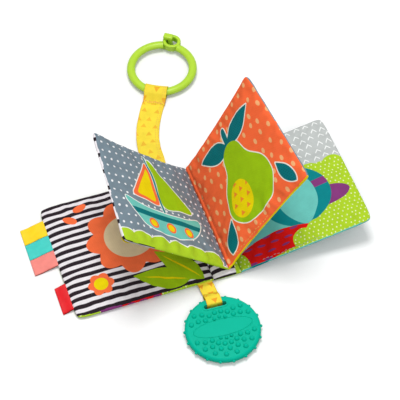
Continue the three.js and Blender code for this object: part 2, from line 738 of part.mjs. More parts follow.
// The short stretch of ribbon from the left cover's front seam to the crease
function addTeetherStrap() {
  const seamShare = (2 * (-teetherStrapX - coverHingeX)) / coverWidth - 1;
  const seamY = leafPoint(leftCover, seamShare, -1, 0).y - strapSeamGap;
  const seam = new THREE.Vector3(teetherStrapX, seamY, coverSeamHeight);
  const turn = new THREE.Vector3(0, 0, 1);
  const toCrease = new THREE.Vector3(0, creaseDistance + hingeGap, 0).applyAxisAngle(turn, teetherTurn);
  const crease = new THREE.Vector3(teetherX, teetherY, creaseHeight).add(toCrease);
  const middle = seam.clone().lerp(crease, 0.5);
  const path = new THREE.CatmullRomCurve3([seam, middle, crease]);
  const cross = acrossBook.clone().applyAxisAngle(turn, teetherTurn);
  addPiece('teether_strap', ribbonAlong(path, teetherStrapWidth, acrossBook, cross, 6), 'yellowRibbon');
}

addSpine();
addLeaf('left_cover', leftCover, 'pageCloth', 'limeCloth');
addLeaf('right_cover', rightCover, 'greyCloth', 'aquaCloth');
addHem('left_leaf_hem', leftLeaf, 'slateCloth');
addHem('right_leaf_hem', rightLeaf, 'coralCloth');
addLeaf('left_leaf', leftLeaf, 'slateCloth', 'pageCloth');
addLeaf('right_leaf', rightLeaf, 'coralCloth', 'slateCloth');
addTags();
addRingStrap();
addRingLoop();
addLinkRing();
addTeetherStrap();
addTeether();

export default book;
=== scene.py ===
"""Looks of a soft cloth crinkle book, lying open: padded covers and leaves with printed cloth,
ribbon tags, a plastic link ring on a printed strap and a bumpy rubber teether.
Sizes are in millimetres until a mesh is made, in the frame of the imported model."""

import math

import bmesh
import bpy
import numpy as np
from mathutils import Matrix, Vector


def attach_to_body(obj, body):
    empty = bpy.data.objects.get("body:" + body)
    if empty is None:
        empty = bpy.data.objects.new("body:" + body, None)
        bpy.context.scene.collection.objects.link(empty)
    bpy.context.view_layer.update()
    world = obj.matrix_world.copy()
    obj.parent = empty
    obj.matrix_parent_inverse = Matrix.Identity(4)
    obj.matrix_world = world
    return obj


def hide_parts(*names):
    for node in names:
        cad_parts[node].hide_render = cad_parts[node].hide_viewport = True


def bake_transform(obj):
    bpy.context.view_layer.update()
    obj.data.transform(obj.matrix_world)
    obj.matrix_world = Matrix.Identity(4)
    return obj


MM = 0.001
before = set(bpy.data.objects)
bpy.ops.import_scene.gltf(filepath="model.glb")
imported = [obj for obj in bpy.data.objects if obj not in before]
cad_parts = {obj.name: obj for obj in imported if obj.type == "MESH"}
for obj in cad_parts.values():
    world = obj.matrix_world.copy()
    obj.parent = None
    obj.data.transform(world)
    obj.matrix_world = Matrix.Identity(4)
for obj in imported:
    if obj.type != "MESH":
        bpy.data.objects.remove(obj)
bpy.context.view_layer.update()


def add_object(name, data):
    piece = bpy.data.objects.new(name, data)
    bpy.context.scene.collection.objects.link(piece)
    return piece


# Camera, as fitted to the photograph: its target on the table, its angles and its distance
CAMERA_TARGET = (5.74, 32.3, 0.0)
CAMERA_TURN = math.radians(-18.93)
CAMERA_RISE = math.radians(53.03)
CAMERA_ROLL = math.radians(-0.11)
CAMERA_DISTANCE = 1702.0
CAMERA_LENS = 141.84


def add_camera():
    level = math.cos(CAMERA_RISE)
    back = Vector((math.sin(CAMERA_TURN) * level, -math.cos(CAMERA_TURN) * level, math.sin(CAMERA_RISE)))
    right = Vector((0, 0, 1)).cross(back).normalized()
    turn = Matrix((right, back.cross(right), back)).transposed().to_4x4()
    place = (Vector(CAMERA_TARGET) + back * CAMERA_DISTANCE) * MM
    lens = bpy.data.cameras.new("camera")
    lens.lens, lens.sensor_width, lens.clip_end = CAMERA_LENS, 36.0, 20.0
    camera = add_object("camera", lens)
    camera.matrix_world = Matrix.Translation(place) @ turn @ Matrix.Rotation(CAMERA_ROLL, 4, "Z")
    bpy.context.scene.camera = camera


add_camera()


# Sizes of the leaves, the same as in the solids
SEAM = 3.0
CORNER = 2.4
CLOTH = 0.65
# Half the thickness of the turned-in edges beside the seam
RIM = 1.25
# The spine is narrower than this, and has no rounded corners or films
WIDE = 50
COVER = dict(
    width=147.0, height=146.4, root=0.1, z=SEAM, top=4.3, bottom=2.35, flat_from=0.5, powers=(4, 4),
    tail=0.85, tilts=(0.0, 0.0), skew=0.0, roll=0.0, front_roll=0.0,
)
INNER = dict(
    width=141.5, height=140.0, root=4.55, z=11.0, top=3.3, bottom=3.3, flat_from=1.0, powers=(4, 4),
    tail=7.0, skew=0.0, roll=0.7, front_roll=0.7,
)
# drawn says how far the sewing draws in the free edge, the back edge and the front edge, skew how
# much wider the front edge is than the middle, roll and front_roll how far the outside cloth turns
# in over the free edge and the front edge, and swell how far the cloth stands up where two leaves meet
LEAVES = {
    "left_cover": dict(COVER, side=-1, x=-16.0, seed=11, drawn=(0.0, -0.8, 0.0), front_roll=1.3),
    "right_cover": dict(
        COVER, side=1, x=16.0, tilts=(11.0, 11.0), seed=12, drawn=(-0.5, 0.5, 0.0), roll=0.4, front_roll=0.7
    ),
    "left_leaf": dict(
        INNER, side=-1, x=0.5, tilts=(42.8, 46.5), seed=13, drawn=(0.0, 4.4, 1.0), skew=2.0, roll=1.5, swell=0.6
    ),
    "right_leaf": dict(INNER, side=1, x=3.5, tilts=(55.9, 63.1), seed=14, drawn=(0.0, 2.2, 2.8), swell=1.4),
    "spine": dict(
        COVER, width=30.4, root=0.0, top=6.3, powers=(2, 8), tail=0.0, side=1, x=-15.2, seed=15,
        drawn=(0.0, 0.0, 0.0),
    ),
}


# One function turns every written colour, an sRGB hex value, to linear
def linear(colour):
    parts = [int(colour[n : n + 2], 16) / 255 for n in (1, 3, 5)]
    return [c / 12.92 if c <= 0.04045 else ((c + 0.055) / 1.055) ** 2.4 for c in parts] + [1.0]


# Adds one node with its settings, and its inputs as links or values, and gives one of its outputs
def put(tree, kind, sockets=None, out=0, **settings):
    node = tree.nodes.new(kind)
    for key, value in settings.items():
        setattr(node, key, value)
    for key, value in (sockets or {}).items():
        if isinstance(value, bpy.types.NodeSocket):
            tree.links.new(value, node.inputs[key])
        else:
            node.inputs[key].default_value = value
    return node.outputs[out] if node.outputs else node


def maths(tree, operation, *values):
    return put(tree, "ShaderNodeMath", dict(enumerate(values)), operation=operation)


def vectors(tree, operation, *values, out=0):
    return put(tree, "ShaderNodeVectorMath", dict(enumerate(values)), out, operation=operation)


def scaled(tree, colour, shade):
    return put(tree, "ShaderNodeVectorMath", {0: colour, 3: shade}, operation="SCALE")


def parts_of(tree, place):
    return put(tree, "ShaderNodeSeparateXYZ", {0: place}).node.outputs


def noise(tree, place, scale, detail, **more):
    return put(tree, "ShaderNodeTexNoise", {"Vector": place, "Scale": scale, "Detail": detail, **more})


def ramp(tree, value, start, end, low=0.0, high=1.0):
    limits = {"From Min": start, "From Max": end, "To Min": low, "To Max": high}
    return put(tree, "ShaderNodeMapRange", {"Value": value, **limits})


def mixed(tree, mask, under, over):
    return put(tree, "ShaderNodeMix", {0: mask, 6: under, 7: over}, 2, data_type="RGBA", blend_type="MIX")


def page_place(tree):
    return put(tree, "ShaderNodeAttribute", {}, 1, attribute_name="page")


def new_material(name):
    material = bpy.data.materials.new(name)
    material.use_nodes = True
    material.node_tree.nodes.clear()
    return material, material.node_tree


# bump is its strength, its distance in metres and its height
def finish_material(material, colour, bump, **sockets):
    tree = material.node_tree
    normal = put(tree, "ShaderNodeBump", dict(zip(("Strength", "Distance", "Height"), bump)))
    inputs = {key.replace("_", " "): value for key, value in sockets.items()}
    surface = put(tree, "ShaderNodeBsdfPrincipled", {"Base Color": colour, "Normal": normal, **inputs})
    put(tree, "ShaderNodeOutputMaterial", {"Surface": surface})
    return material


# Smooth undulation over a surface: a few sine waves of seeded lengths and directions
def waves(x, y, seed, shortest, longest, count=7):
    random = np.random.default_rng(seed)
    total = np.zeros(np.shape(x))
    for _ in range(count):
        length = random.uniform(shortest, longest)
        angle, phase = random.uniform(0, 2 * math.pi, 2)
        total += np.sin(2 * math.pi * (x * math.cos(angle) + y * math.sin(angle)) / length + phase)
    return total / math.sqrt(count)


# A smooth hump, 1 at the value 0 and falling off over the reach
def hump(value, reach):
    return np.exp(-((value / reach) ** 2))


def around(count):
    return np.linspace(0, 2 * math.pi, count, endpoint=False)


# A place on a leaf. p runs in millimetres from the root seam to the free edge, t from the front
# edge, -1, to the back edge, 1, and w is the height off the leaf's middle.
def leaf_point(leaf, p, t, w):
    s = np.clip(2 * p / leaf["width"] - 1, -1, 1)
    corner = (np.maximum(0, s) * t) ** 16 * CORNER if leaf["width"] > WIDE else 0.0
    edge, back, front = leaf["drawn"]
    side_pull = np.maximum(0, s) ** 3 * (1 - t * t) * edge + np.clip(p / leaf["width"], 0, 1) * t * leaf["skew"]
    end_pull = np.abs(t) ** 3 * (1 - s**4) * np.where(t > 0, back, front)
    u = leaf["root"] + p - side_pull - s * corner
    v = t * leaf["height"] / 2 - np.sign(t) * (end_pull + np.abs(t) * corner)
    ends = np.radians(leaf["tilts"])
    tilt = ends[0] + (ends[1] - ends[0]) * (1 + t) / 2
    x = leaf["x"] + leaf["side"] * (u * np.cos(tilt) - w * np.sin(tilt))
    z = leaf["z"] + u * np.sin(tilt) + w * np.cos(tilt)
    return np.stack([x, v, z], -1)


def crown(leaf, p, t):
    s = np.clip(2 * p / leaf["width"] - 1, -1, 1)
    powers = leaf["powers"]
    return np.sqrt(np.maximum(0, (1 - np.abs(s) ** powers[0]) * (1 - np.abs(t) ** powers[1])))


# Puckers run in from a sewn edge: along is the way along it, away the distance from it
def puckers(along, away, seed):
    fade = (away / 3.0) * np.exp(1 - np.maximum(away, 0) / 3.0)
    return waves(along, 0.25 * away, seed, 5.0, 12.0, 5) * fade


# Quads of a grid of rows by columns whose points are numbered by index
def grid_faces(index, flip=False):
    a, b = index[:-1, :-1], index[1:, :-1]
    c, d = index[1:, 1:], index[:-1, 1:]
    order = (a, d, c, b) if flip else (a, b, c, d)
    return np.stack([part.ravel() for part in order], -1)


# Point numbers of two grids that share their rim. rim_joined gives the points in that order.
def shared_rim(rows, columns):
    top = np.arange(rows * columns).reshape(rows, columns)
    low = top.copy()
    low[1:-1, 1:-1] = rows * columns + np.arange((rows - 2) * (columns - 2)).reshape(rows - 2, -1)
    return top, low


def rim_joined(upper, lower):
    return np.concatenate([grid.reshape(-1, *grid.shape[2:]) for grid in (upper, lower[1:-1, 1:-1])])


# Values of a grid between its points, at broken rows and columns
def between(grid, rows, columns):
    i, j = np.minimum(rows.astype(int), len(grid) - 2), np.minimum(columns.astype(int), grid.shape[1] - 2)
    a, b = rows - i, columns - j
    if grid.ndim > 2:
        a, b = a[..., None], b[..., None]
    near, far = ((grid[i, j + k] * (1 - a) + grid[i + 1, j + k] * a) for k in (0, 1))
    return near * (1 - b) + far * b


def smoothed(field, reach):
    steps = np.arange(-3 * reach, 3 * reach + 1)
    kernel = np.exp(-0.5 * (steps / reach) ** 2)
    kernel /= kernel.sum()

    def spread(line):
        return np.convolve(np.pad(line, 3 * reach, mode="edge"), kernel, "valid")

    return np.apply_along_axis(spread, 1, np.apply_along_axis(spread, 0, field))


# The sewn pad as cloth: two plies, cut a little too large along the seam that gathers them, are
# blown up from inside, and pucker. The cloth is ten times life size, where the solver is steadier.
PLY_ROWS = 66
PLY_SCALE = 10 * MM
PLY_STEPS = 28
GATHERED = 0.075
GATHER_REACH = 15.0
PUCKER_GAIN, PUCKER_LIMIT = 0.8, 1.45


def cloth_puckers(leaf):
    width, half, seed = leaf["width"], leaf["height"] / 2, leaf["seed"]
    sides = np.linspace(0, width, PLY_ROWS), np.linspace(-half, half, PLY_ROWS)
    p, q = np.meshgrid(*sides, indexing="ij")
    edge = np.minimum(np.minimum(p, width - p), half - np.abs(q))
    start, loose = 1.2 * np.clip(edge / 3, 0, 1), np.clip(edge / 2, 0, 1)
    heights = [sign * start + 0.1 * waves(p, q, seed + sign, 8, 22, 12) * loose for sign in (1, -1)]
    plies = [np.stack([p, q, height], -1) for height in heights]
    top, low = shared_rim(PLY_ROWS, PLY_ROWS)
    faces = np.concatenate([grid_faces(top), grid_faces(low, True)])
    mesh = bpy.data.meshes.new("ply")
    mesh.from_pydata((rim_joined(*plies) * PLY_SCALE).tolist(), [], [tuple(face) for face in faces])
    pad = add_object("ply", mesh)
    seam = pad.vertex_groups.new(name="seam")
    seam.add(np.unique(np.concatenate([top[0], top[-1], top[:, 0], top[:, -1]])).tolist(), 1.0, "REPLACE")
    kept = pad.vertex_groups.new(name="kept_flat")
    flatness = 1 - hump(edge, GATHER_REACH)
    for number, weight in enumerate(rim_joined(flatness, flatness)):
        kept.add([number], float(weight), "REPLACE")
    modifier = pad.modifiers.new("cloth", "CLOTH")
    cloth = modifier.settings
    cloth.quality, cloth.mass = 5, 0.3
    cloth.tension_stiffness = cloth.compression_stiffness = 15
    cloth.shear_stiffness, cloth.bending_stiffness = 5, 0.15
    cloth.use_pressure, cloth.uniform_pressure_force = True, 0.7
    cloth.shrink_min, cloth.shrink_max = -GATHERED, 0.0
    cloth.vertex_group_shrink, cloth.vertex_group_mass = "kept_flat", "seam"
    cloth.effector_weights.gravity = 0
    modifier.collision_settings.use_collision = False
    for number in range(PLY_STEPS):
        bpy.context.scene.frame_set(number + 1)
    evaluated = pad.evaluated_get(bpy.context.evaluated_depsgraph_get())
    shaped = np.empty(3 * len(mesh.vertices), np.float32)
    evaluated.to_mesh().vertices.foreach_get("co", shaped)
    heights = shaped.reshape(-1, 3)[:, 2] / PLY_SCALE
    evaluated.to_mesh_clear()
    bpy.context.scene.frame_set(1)
    bpy.data.objects.remove(pad)
    bpy.data.meshes.remove(mesh)
    folds = [smoothed(height, 1) - smoothed(height, 7) for height in (heights[top], -heights[low])]
    return [PUCKER_LIMIT * np.tanh(PUCKER_GAIN * fold) for fold in folds]


PUCKERS = {}


# Height of the sewn cloth's dents and swells off the plain crown, on its top or bottom side
def relief(leaf, p, t, under=0):
    seed = 100 * leaf["seed"] + 50 * under
    width, q = leaf["width"], t * leaf["height"] / 2
    from_ends, from_root = leaf["height"] / 2 - np.abs(q), np.maximum(p, 0)
    if width < WIDE:
        ends = np.where(q < 0, puckers(p, from_ends, seed), puckers(p + 300, from_ends, seed + 1))
        total = 0.2 * ends + 0.18 * puckers(q, width - p, seed + 2)
    else:
        if leaf["seed"] not in PUCKERS:
            PUCKERS[leaf["seed"]] = cloth_puckers(leaf)
        last = PLY_ROWS - 1.001
        rows, columns = (np.clip(share, 0, 1) * last for share in (p / width, 0.5 + t / 2))
        total = between(PUCKERS[leaf["seed"]][under], rows, columns)
    if width > WIDE:
        drag = hump(from_root - 9, 6.0) * (0.6 + 0.5 * waves(q, q * 0, seed + 5, 50, 120, 3))
        total = total + 0.35 * waves(p, q, seed + 4, 34, 80) * crown(leaf, p, t)
        total = total + 0.3 * drag * np.sin(2 * math.pi * from_root / 8.5)
    return total


# Places across a side, closer together near its two ends
def graded(low, high, count):
    share = np.linspace(-1, 1, count)
    share = share * (1.25 - 0.25 * share**2)
    return low + (high - low) * (1 + share) / 2


def make_object(name, points, faces, materials, slots=None, smooth=True):
    mesh = bpy.data.meshes.new(name)
    mesh.from_pydata((np.asarray(points, float) * MM).tolist(), [], [tuple(f) for f in faces])
    for material in materials:
        mesh.materials.append(material)
    if slots is not None:
        mesh.polygons.foreach_set("material_index", np.asarray(slots, np.int32))
    mesh.polygons.foreach_set("use_smooth", np.full(len(mesh.polygons), smooth))
    mesh.validate()
    return add_object(name, mesh)


# Writes a value or a place for each point or face corner, for the materials and the repeats
def mark(mesh, name, values, domain="POINT"):
    values = np.asarray(values, np.float32)
    kind, field = ("FLOAT_VECTOR", "vector") if values.ndim > 1 else ("FLOAT", "value")
    mesh.attributes.new(name, kind, domain).data.foreach_set(field, values.ravel())


# A padded shell of two cloth faces that meet in one seam line round their edge
def padded_shell(name, leaf, counts, materials, prints):
    low, width, half = -leaf["tail"], leaf["width"], leaf["height"] / 2
    p, t = np.meshgrid(graded(low, width, counts[0]), graded(-1, 1, counts[1]), indexing="ij")
    q, rise = t * leaf["height"] / 2, crown(leaf, p, t)
    edge = np.clip(np.minimum(np.minimum(p - low, width - p), (1 - np.abs(t)) * leaf["height"] / 2) / RIM, 0, 1)
    edge = np.sqrt(1 - (1 - edge) ** 2)
    over, under = relief(leaf, p, t), relief(leaf, p, t, 1)
    if leaf["tilts"][1] == 0:
        under = -np.abs(under)
    top = (RIM + (leaf["top"] + CLOTH - RIM) * rise + over) * edge
    bottom = -(RIM + (leaf["bottom"] + CLOTH - RIM) * np.minimum(1, rise / leaf["flat_from"]) + under) * edge
    if "swell" in leaf:
        top += leaf["swell"] * hump(p + 2.6, 2.4) * edge
    top_index, low_index = shared_rim(*p.shape)
    points = rim_joined(leaf_point(leaf, p, t, top), leaf_point(leaf, p, t, bottom))
    turned = leaf["side"] < 0
    faces = np.concatenate([grid_faces(top_index, turned), grid_faces(low_index, not turned)])
    seam_line = width - leaf["roll"] * (1 + 0.25 * waves(q, 0 * q, leaf["seed"] + 7, 14, 40, 4))
    front_line = leaf["front_roll"] * (1 + 0.3 * waves(p, 0 * p, leaf["seed"] + 8, 14, 40, 4)) - half
    slots = np.repeat([0, 1], len(faces) // 2)
    if leaf["roll"] or leaf["front_roll"]:
        slots[: len(faces) // 2] = ((p > seam_line) | (q < front_line))[:-1, :-1].ravel()
    piece = make_object(name, points, faces, materials, slots)
    flat = np.stack([p, q, 0 * q], -1)
    places = rim_joined(flat, flat)
    mark(piece.data, "page", places)
    corners, sides = faces.ravel(), np.repeat(slots, 4)
    for number in range(max(len(side) for side in prints)):
        depth = np.full(len(corners), -50.0)
        for side, layers in enumerate(prints):
            if number < len(layers):
                depth[sides == side] = layers[number][0](places[:, :2])[corners[sides == side]]
        mark(piece.data, f"print_{number + 1}", depth, "CORNER")
    return piece


# Outlines of printed shapes, in page millimetres
def smooth_outline(*points, steps=8):
    points = np.array(points, float)
    before, after, beyond = (np.roll(points, k, 0) for k in (1, -1, -2))
    first, second = after - before, 2 * before - 5 * points + 4 * after - beyond
    third = 3 * points - before - 3 * after + beyond
    shares = np.arange(steps) / steps
    spots = [0.5 * (2 * points + first * share + second * share**2 + third * share**3) for share in shares]
    return np.stack(spots, 1).reshape(-1, 2)


def corners_at(*points):
    return np.array(points, float)


def oval(x, y, half_width, half_height, turn=0.0):
    angle = around(64)
    across, up = half_width * np.cos(angle), half_height * np.sin(angle)
    c, s = math.cos(math.radians(turn)), math.sin(math.radians(turn))
    return np.stack([x + c * across - s * up, y + s * across + c * up], -1)


def blossom(x, y, radius, petals, depth):
    angle = around(160)
    reach = radius * (1 - depth * (1 - np.abs(np.cos(petals * angle / 2))))
    return np.stack([x + reach * np.cos(angle), y + reach * np.sin(angle)], -1)


def leaf_shape(root, tip, bulge):
    root, tip = np.array(root, float), np.array(tip, float)
    along = tip - root
    side = np.array([-along[1], along[0]]) * bulge
    share = np.linspace(0, 1, 24)
    width = np.sin(math.pi * share**0.8)[:, None]
    one = root + share[:, None] * along + width * side
    other = root + share[::-1][:, None] * along - width[::-1] * side
    return np.concatenate([one, other[1:-1]])


# Signed distance of page places from an outline, positive inside it
def depth_in(places, outline):
    best = np.full(len(places), 1e9)
    inside = np.zeros(len(places), bool)
    for a, b in zip(outline, np.roll(outline, -1, 0)):
        edge = b - a
        offset = places - a
        share = np.clip(offset @ edge / max(edge @ edge, 1e-9), 0, 1)
        best = np.minimum(best, np.hypot(*(offset - share[:, None] * edge).T))
        crosses = (a[1] > places[:, 1]) != (b[1] > places[:, 1])
        if a[1] != b[1]:
            inside ^= crosses & (places[:, 0] < a[0] + (places[:, 1] - a[1]) * edge[0] / edge[1])
    return np.where(inside, best, -best)


# A printed layer covers one or more outlines with a colour or a pattern. grow widens it, for a
# pale line round a motif.
def layer(paint, *outlines, grow=0.0, within=None, cut=()):
    def depths(places):
        total = np.max([depth_in(places, outline) for outline in outlines], 0) + grow
        if within is not None:
            total = np.minimum(total, depth_in(places, within))
        for outline in cut:
            total = np.minimum(total, -depth_in(places, outline))
        return total

    return depths, paint


# Printed patterns. Each gives a mask from the page place, a vector in millimetres.
def cell(tree, place, pitch, stagger=0.0, jitter=0.0):
    parts = parts_of(tree, vectors(tree, "DIVIDE", place, (*pitch, 1)))
    odd = maths(tree, "FLOORED_MODULO", maths(tree, "FLOOR", parts[1]), 2.0)
    across = maths(tree, "MULTIPLY_ADD", odd, stagger, parts[0])
    moved = put(tree, "ShaderNodeCombineXYZ", {0: across, 1: parts[1]})
    number = vectors(tree, "FLOOR", moved)
    within = vectors(tree, "SUBTRACT", moved, number)
    local = vectors(tree, "MULTIPLY_ADD", within, (*pitch, 0), (-pitch[0] / 2, -pitch[1] / 2, 0))
    if not jitter:
        return local
    random = put(tree, "ShaderNodeTexWhiteNoise", {"Vector": number}, 1, noise_dimensions="2D")
    back = vectors(tree, "SUBTRACT", local, (jitter / 2, jitter / 2, 0))
    return vectors(tree, "MULTIPLY_ADD", random, (jitter, jitter, 0), back)


# 1 where a distance is below the limit, with an edge as soft as ink on cloth
INK_EDGE = 0.18


def below(tree, value, limit):
    return ramp(tree, value, limit + INK_EDGE, limit - INK_EDGE)


def ovals(tree, place, pitch, halves, stagger=0.0, jitter=0.0):
    size = min(halves)
    round_place = vectors(
        tree, "MULTIPLY", cell(tree, place, pitch, stagger, jitter), (size / halves[0], size / halves[1], 0)
    )
    return below(tree, vectors(tree, "LENGTH", round_place, out=1), size)


TICK_SLOPE = 1.25


def ticks(tree, place, pitch, half_width, stroke, jitter):
    parts = parts_of(tree, cell(tree, place, pitch, 0.5, jitter))
    aside = maths(tree, "ABSOLUTE", parts[0])
    bent = maths(tree, "MULTIPLY_ADD", aside, TICK_SLOPE, parts[1])
    off = maths(tree, "ABSOLUTE", maths(tree, "SUBTRACT", bent, TICK_SLOPE * half_width / 2))
    return maths(tree, "MULTIPLY", below(tree, off, stroke * 0.8), below(tree, aside, half_width))


# point is -1 for triangles that point to the back of the page, 1 for those that point to the front
def triangles(tree, place, pitch, size, stagger, jitter, point=-1.0):
    local = cell(tree, place, pitch, stagger, jitter)
    sides = (0.0, point, 0.0), (0.866, -0.5 * point, 0.0), (-0.866, -0.5 * point, 0.0)
    reach = [vectors(tree, "DOT_PRODUCT", local, side, out=1) for side in sides]
    return below(tree, maths(tree, "MAXIMUM", maths(tree, "MAXIMUM", *reach[:2]), reach[2]), size / 3.46)


def stripes(tree, place, period, dark_share, offset=0.0):
    sway = noise(tree, place, 0.045, 1.0)
    swayed = maths(tree, "MULTIPLY_ADD", sway, 0.5, parts_of(tree, place)[1])
    moved = maths(tree, "ADD", swayed, offset + 1000 * period)
    return below(tree, maths(tree, "PINGPONG", moved, period / 2), dark_share * period / 2)


# Woven printed cloth: the print over its ground, faint uneven ink, and the weave's fine twill
# lines, drawn about 2 mm apart, coarser than the real ones, so that they show
def cloth_finish(material, colour, place, twill=2.2, roughness=0.8):
    tree = material.node_tree
    shade = ramp(tree, noise(tree, place, 0.09, 4.0, Roughness=0.6), 0.3, 0.7, 0.93, 1.05)
    lines = (2 * math.pi / twill, 1.5 * math.pi / twill, 0)
    thread = maths(tree, "SINE", vectors(tree, "DOT_PRODUCT", place, lines, out=1))
    weave = maths(tree, "MULTIPLY_ADD", thread, 0.35, noise(tree, place, 1.1, 2.0))
    shaded = scaled(tree, colour, maths(tree, "MULTIPLY_ADD", thread, 0.018, shade))
    return finish_material(
        material, shaded, (0.35, 0.00018, weave), Roughness=roughness, Specular_IOR_Level=0.12
    )


# A paint is a colour, or a pattern given as a function of the tree and the page place
def painted(tree, place, paint):
    return paint(tree, place) if callable(paint) else linear(paint)


def printed_cloth(name, ground, layers=()):
    material, tree = new_material(name)
    place = page_place(tree)
    colour = painted(tree, place, ground)
    for number, (_, paint) in enumerate(layers):
        depth = put(tree, "ShaderNodeAttribute", {}, 2, attribute_name=f"print_{number + 1}")
        colour = mixed(tree, ramp(tree, depth, -0.2, 0.2), colour, painted(tree, place, paint))
    return cloth_finish(material, colour, place)


BLACK, WHITE = "#2B2128", "#EDE8EC"
ORANGE, CORAL, APRICOT = "#FB7241", "#FF6D3C", "#F8B47A"
LIME, PALE_LIME = "#9DC50E", "#B0D42A"
TEAL, DEEP_TEAL, AQUA = "#02868C", "#00737A", "#6FC9BF"
RED, PURPLE, YELLOW, CREAM = "#E4120E", "#873A7C", "#F1D900", "#E3D0A6"
GREY, SLATE = "#C3C7C5", "#798B97"


def patterned(pattern, ground, ink, *settings):
    return lambda tree, place: mixed(tree, pattern(tree, place, *settings), linear(ground), linear(ink))


striped = patterned(stripes, WHITE, BLACK, 8.75, 0.52)
spine_striped = patterned(stripes, WHITE, BLACK, 8.75, 0.5, 4.375)
barred = patterned(stripes, WHITE, BLACK, 21.0, 0.24, 4.0)
slate_dots = patterned(ovals, SLATE, "#F2F4F6", (8.7, 10.2), (1.35, 1.35))
coral_dots = patterned(ovals, CORAL, APRICOT, (14.0, 13.5), (2.1, 3.1), 0.5, 5.5)
grey_ticks = patterned(ticks, GREY, "#F6F8F6", (10.5, 9.0), 3.2, 1.15, 2.2)
lime_dots = patterned(ovals, PALE_LIME, "#EAF3B8", (5.2, 4.6), (0.72, 0.85), 0.5, 1.6)
red_dashes = patterned(ovals, RED, PURPLE, (15.0, 8.5), (4.4, 1.2), 0.5, 3.0)
yellow_triangles = patterned(triangles, YELLOW, "#F4902A", (11.0, 11.0), 6.4, 0.5, 2.0)
hatched_teal = patterned(ovals, DEEP_TEAL, "#045F68", (2.6, 2.6), (0.62, 0.62), 0.5)


# Motifs, in page millimetres: p from the root, q from the front, below 0, to the back, above 0
small_leaves = leaf_shape((22, -66), (78, -44), 0.2), leaf_shape((8, -69), (48, -22), 0.2)
veins = leaf_shape((24, -65), (72, -46.5), 0.02), leaf_shape((10, -67), (45, -25), 0.02)
petals = blossom(66, 6, 47, 9, 0.2), blossom(112, -43, 14, 6, 0.22)
beside_root = corners_at((5.5, -90), (5.5, 90), (-9, 90), (-9, -90))
left_page_layers = [
    layer(ORANGE, *petals, oval(120, 46, 8, 4.5, 35), oval(106, 58, 8, 4.5, -20)),
    layer(CREAM, oval(66, 6, 27, 27)),
    layer(YELLOW, oval(112, -43, 7.5, 7.5), oval(66, 6, 9, 9)),
    layer(LIME, *small_leaves, cut=[beside_root]),
    layer(YELLOW, *veins),
]

pear = smooth_outline(
    (72, 34), (86, 27), (92, 8), (107, -12), (108, -36), (92, -53), (70, -56), (48, -52), (34, -35), (36, -11),
    (52, 8), (58, 27),
)
teal_leaves = [
    leaf_shape((73, 33), (122, 46), 0.2), leaf_shape((71, 32), (24, 50), 0.22),
    leaf_shape((10, -64), (30, -34), 0.22), leaf_shape((128, -64), (116, -30), 0.2),
    smooth_outline((70, 30), (75, 30), (77, 52), (71, 53)),
]
right_leaf_layers = [
    layer("#F3F0E6", pear, *teal_leaves, grow=1.2),
    layer(hatched_teal, *teal_leaves),
    layer(LIME, pear),
    layer(yellow_triangles, oval(56, -26, 17, 21, -15), within=pear),
]

hull = smooth_outline(
    (16, -14), (40, -19), (70, -20), (100, -17), (122, -10), (116, -28), (100, -44), (70, -49), (42, -46),
    (24, -32),
)
hull_band = corners_at((0, -25), (140, -23), (140, -30), (0, -32))
big_sail = smooth_outline((66, 58), (54, 36), (34, 8), (24, -7), (44, -9), (66, -10), (67, 20))
small_sail = smooth_outline((73, 48), (84, 34), (102, 8), (108, -4), (92, -7), (73, -9), (72, 20))
sail_field = smooth_outline((76, 38), (84, 27), (97, 8), (101, -1), (90, -3), (77, -5), (76, 16))
mast = corners_at((68, 62), (71, 62), (71, -19), (68, -19))
waves_low = [oval(14 + 25 * k, -63, 14, 8.5) for k in range(6)] + [oval(70, -72, 80, 7)]
left_leaf_layers = [
    layer("#F0F1EE", hull, big_sail, small_sail, mast, *waves_low, grow=1.2),
    layer(AQUA, hull),
    layer(DEEP_TEAL, hull_band, within=hull),
    layer(LIME, big_sail),
    layer(ORANGE, small_sail, *[oval(42 + 25 * k, -38, 6.4, 6.4) for k in range(3)]),
    layer(YELLOW, sail_field, *[oval(42 + 25 * k, -38, 4.2, 4.2) for k in range(3)]),
    layer(TEAL, mast),
    layer(PALE_LIME, *waves_low),
]

ball = oval(84, -14, 38, 36)
gore = smooth_outline((84, 22), (101, 6), (106, -14), (101, -34), (84, -50), (68, -34), (63, -14), (68, 6))
ball_band = corners_at((0, -22), (146, -8), (146, 1), (0, -13))
far_hills = [oval(108 + 14 * k, 10 - 3 * (k % 2), 13, 10) for k in range(5)] + [
    corners_at((84, -80), (84, -6), (100, 11), (160, 11), (160, -80)), oval(94, 0, 17, 13),
]
ground = smooth_outline(
    (2, -60), (20, -50), (48, -45), (76, -48), (98, -57), (104, -68), (84, -78), (40, -86), (2, -86)
)
mound = smooth_outline((100, -20), (118, -14), (134, -18), (140, -27), (130, -35), (104, -38))
front_hills = [oval(74 + 17 * k, -66 + 4.5 * k, 12.5, 13) for k in range(5)] + [
    oval(60, -79, 34, 9), oval(2, -68, 9, 14), corners_at((84, -80), (90, -62), (160, -44), (160, -80)),
]
right_page_layers = [
    layer(lime_dots, *far_hills),
    layer(AQUA, oval(44, -34, 36, 24)),
    layer(PURPLE, mound),
    layer(TEAL, ball),
    layer(AQUA, gore),
    layer(PURPLE, ball_band, within=ball, cut=[gore]),
    layer(red_dashes, ground),
    layer(lime_dots, *front_hills),
]

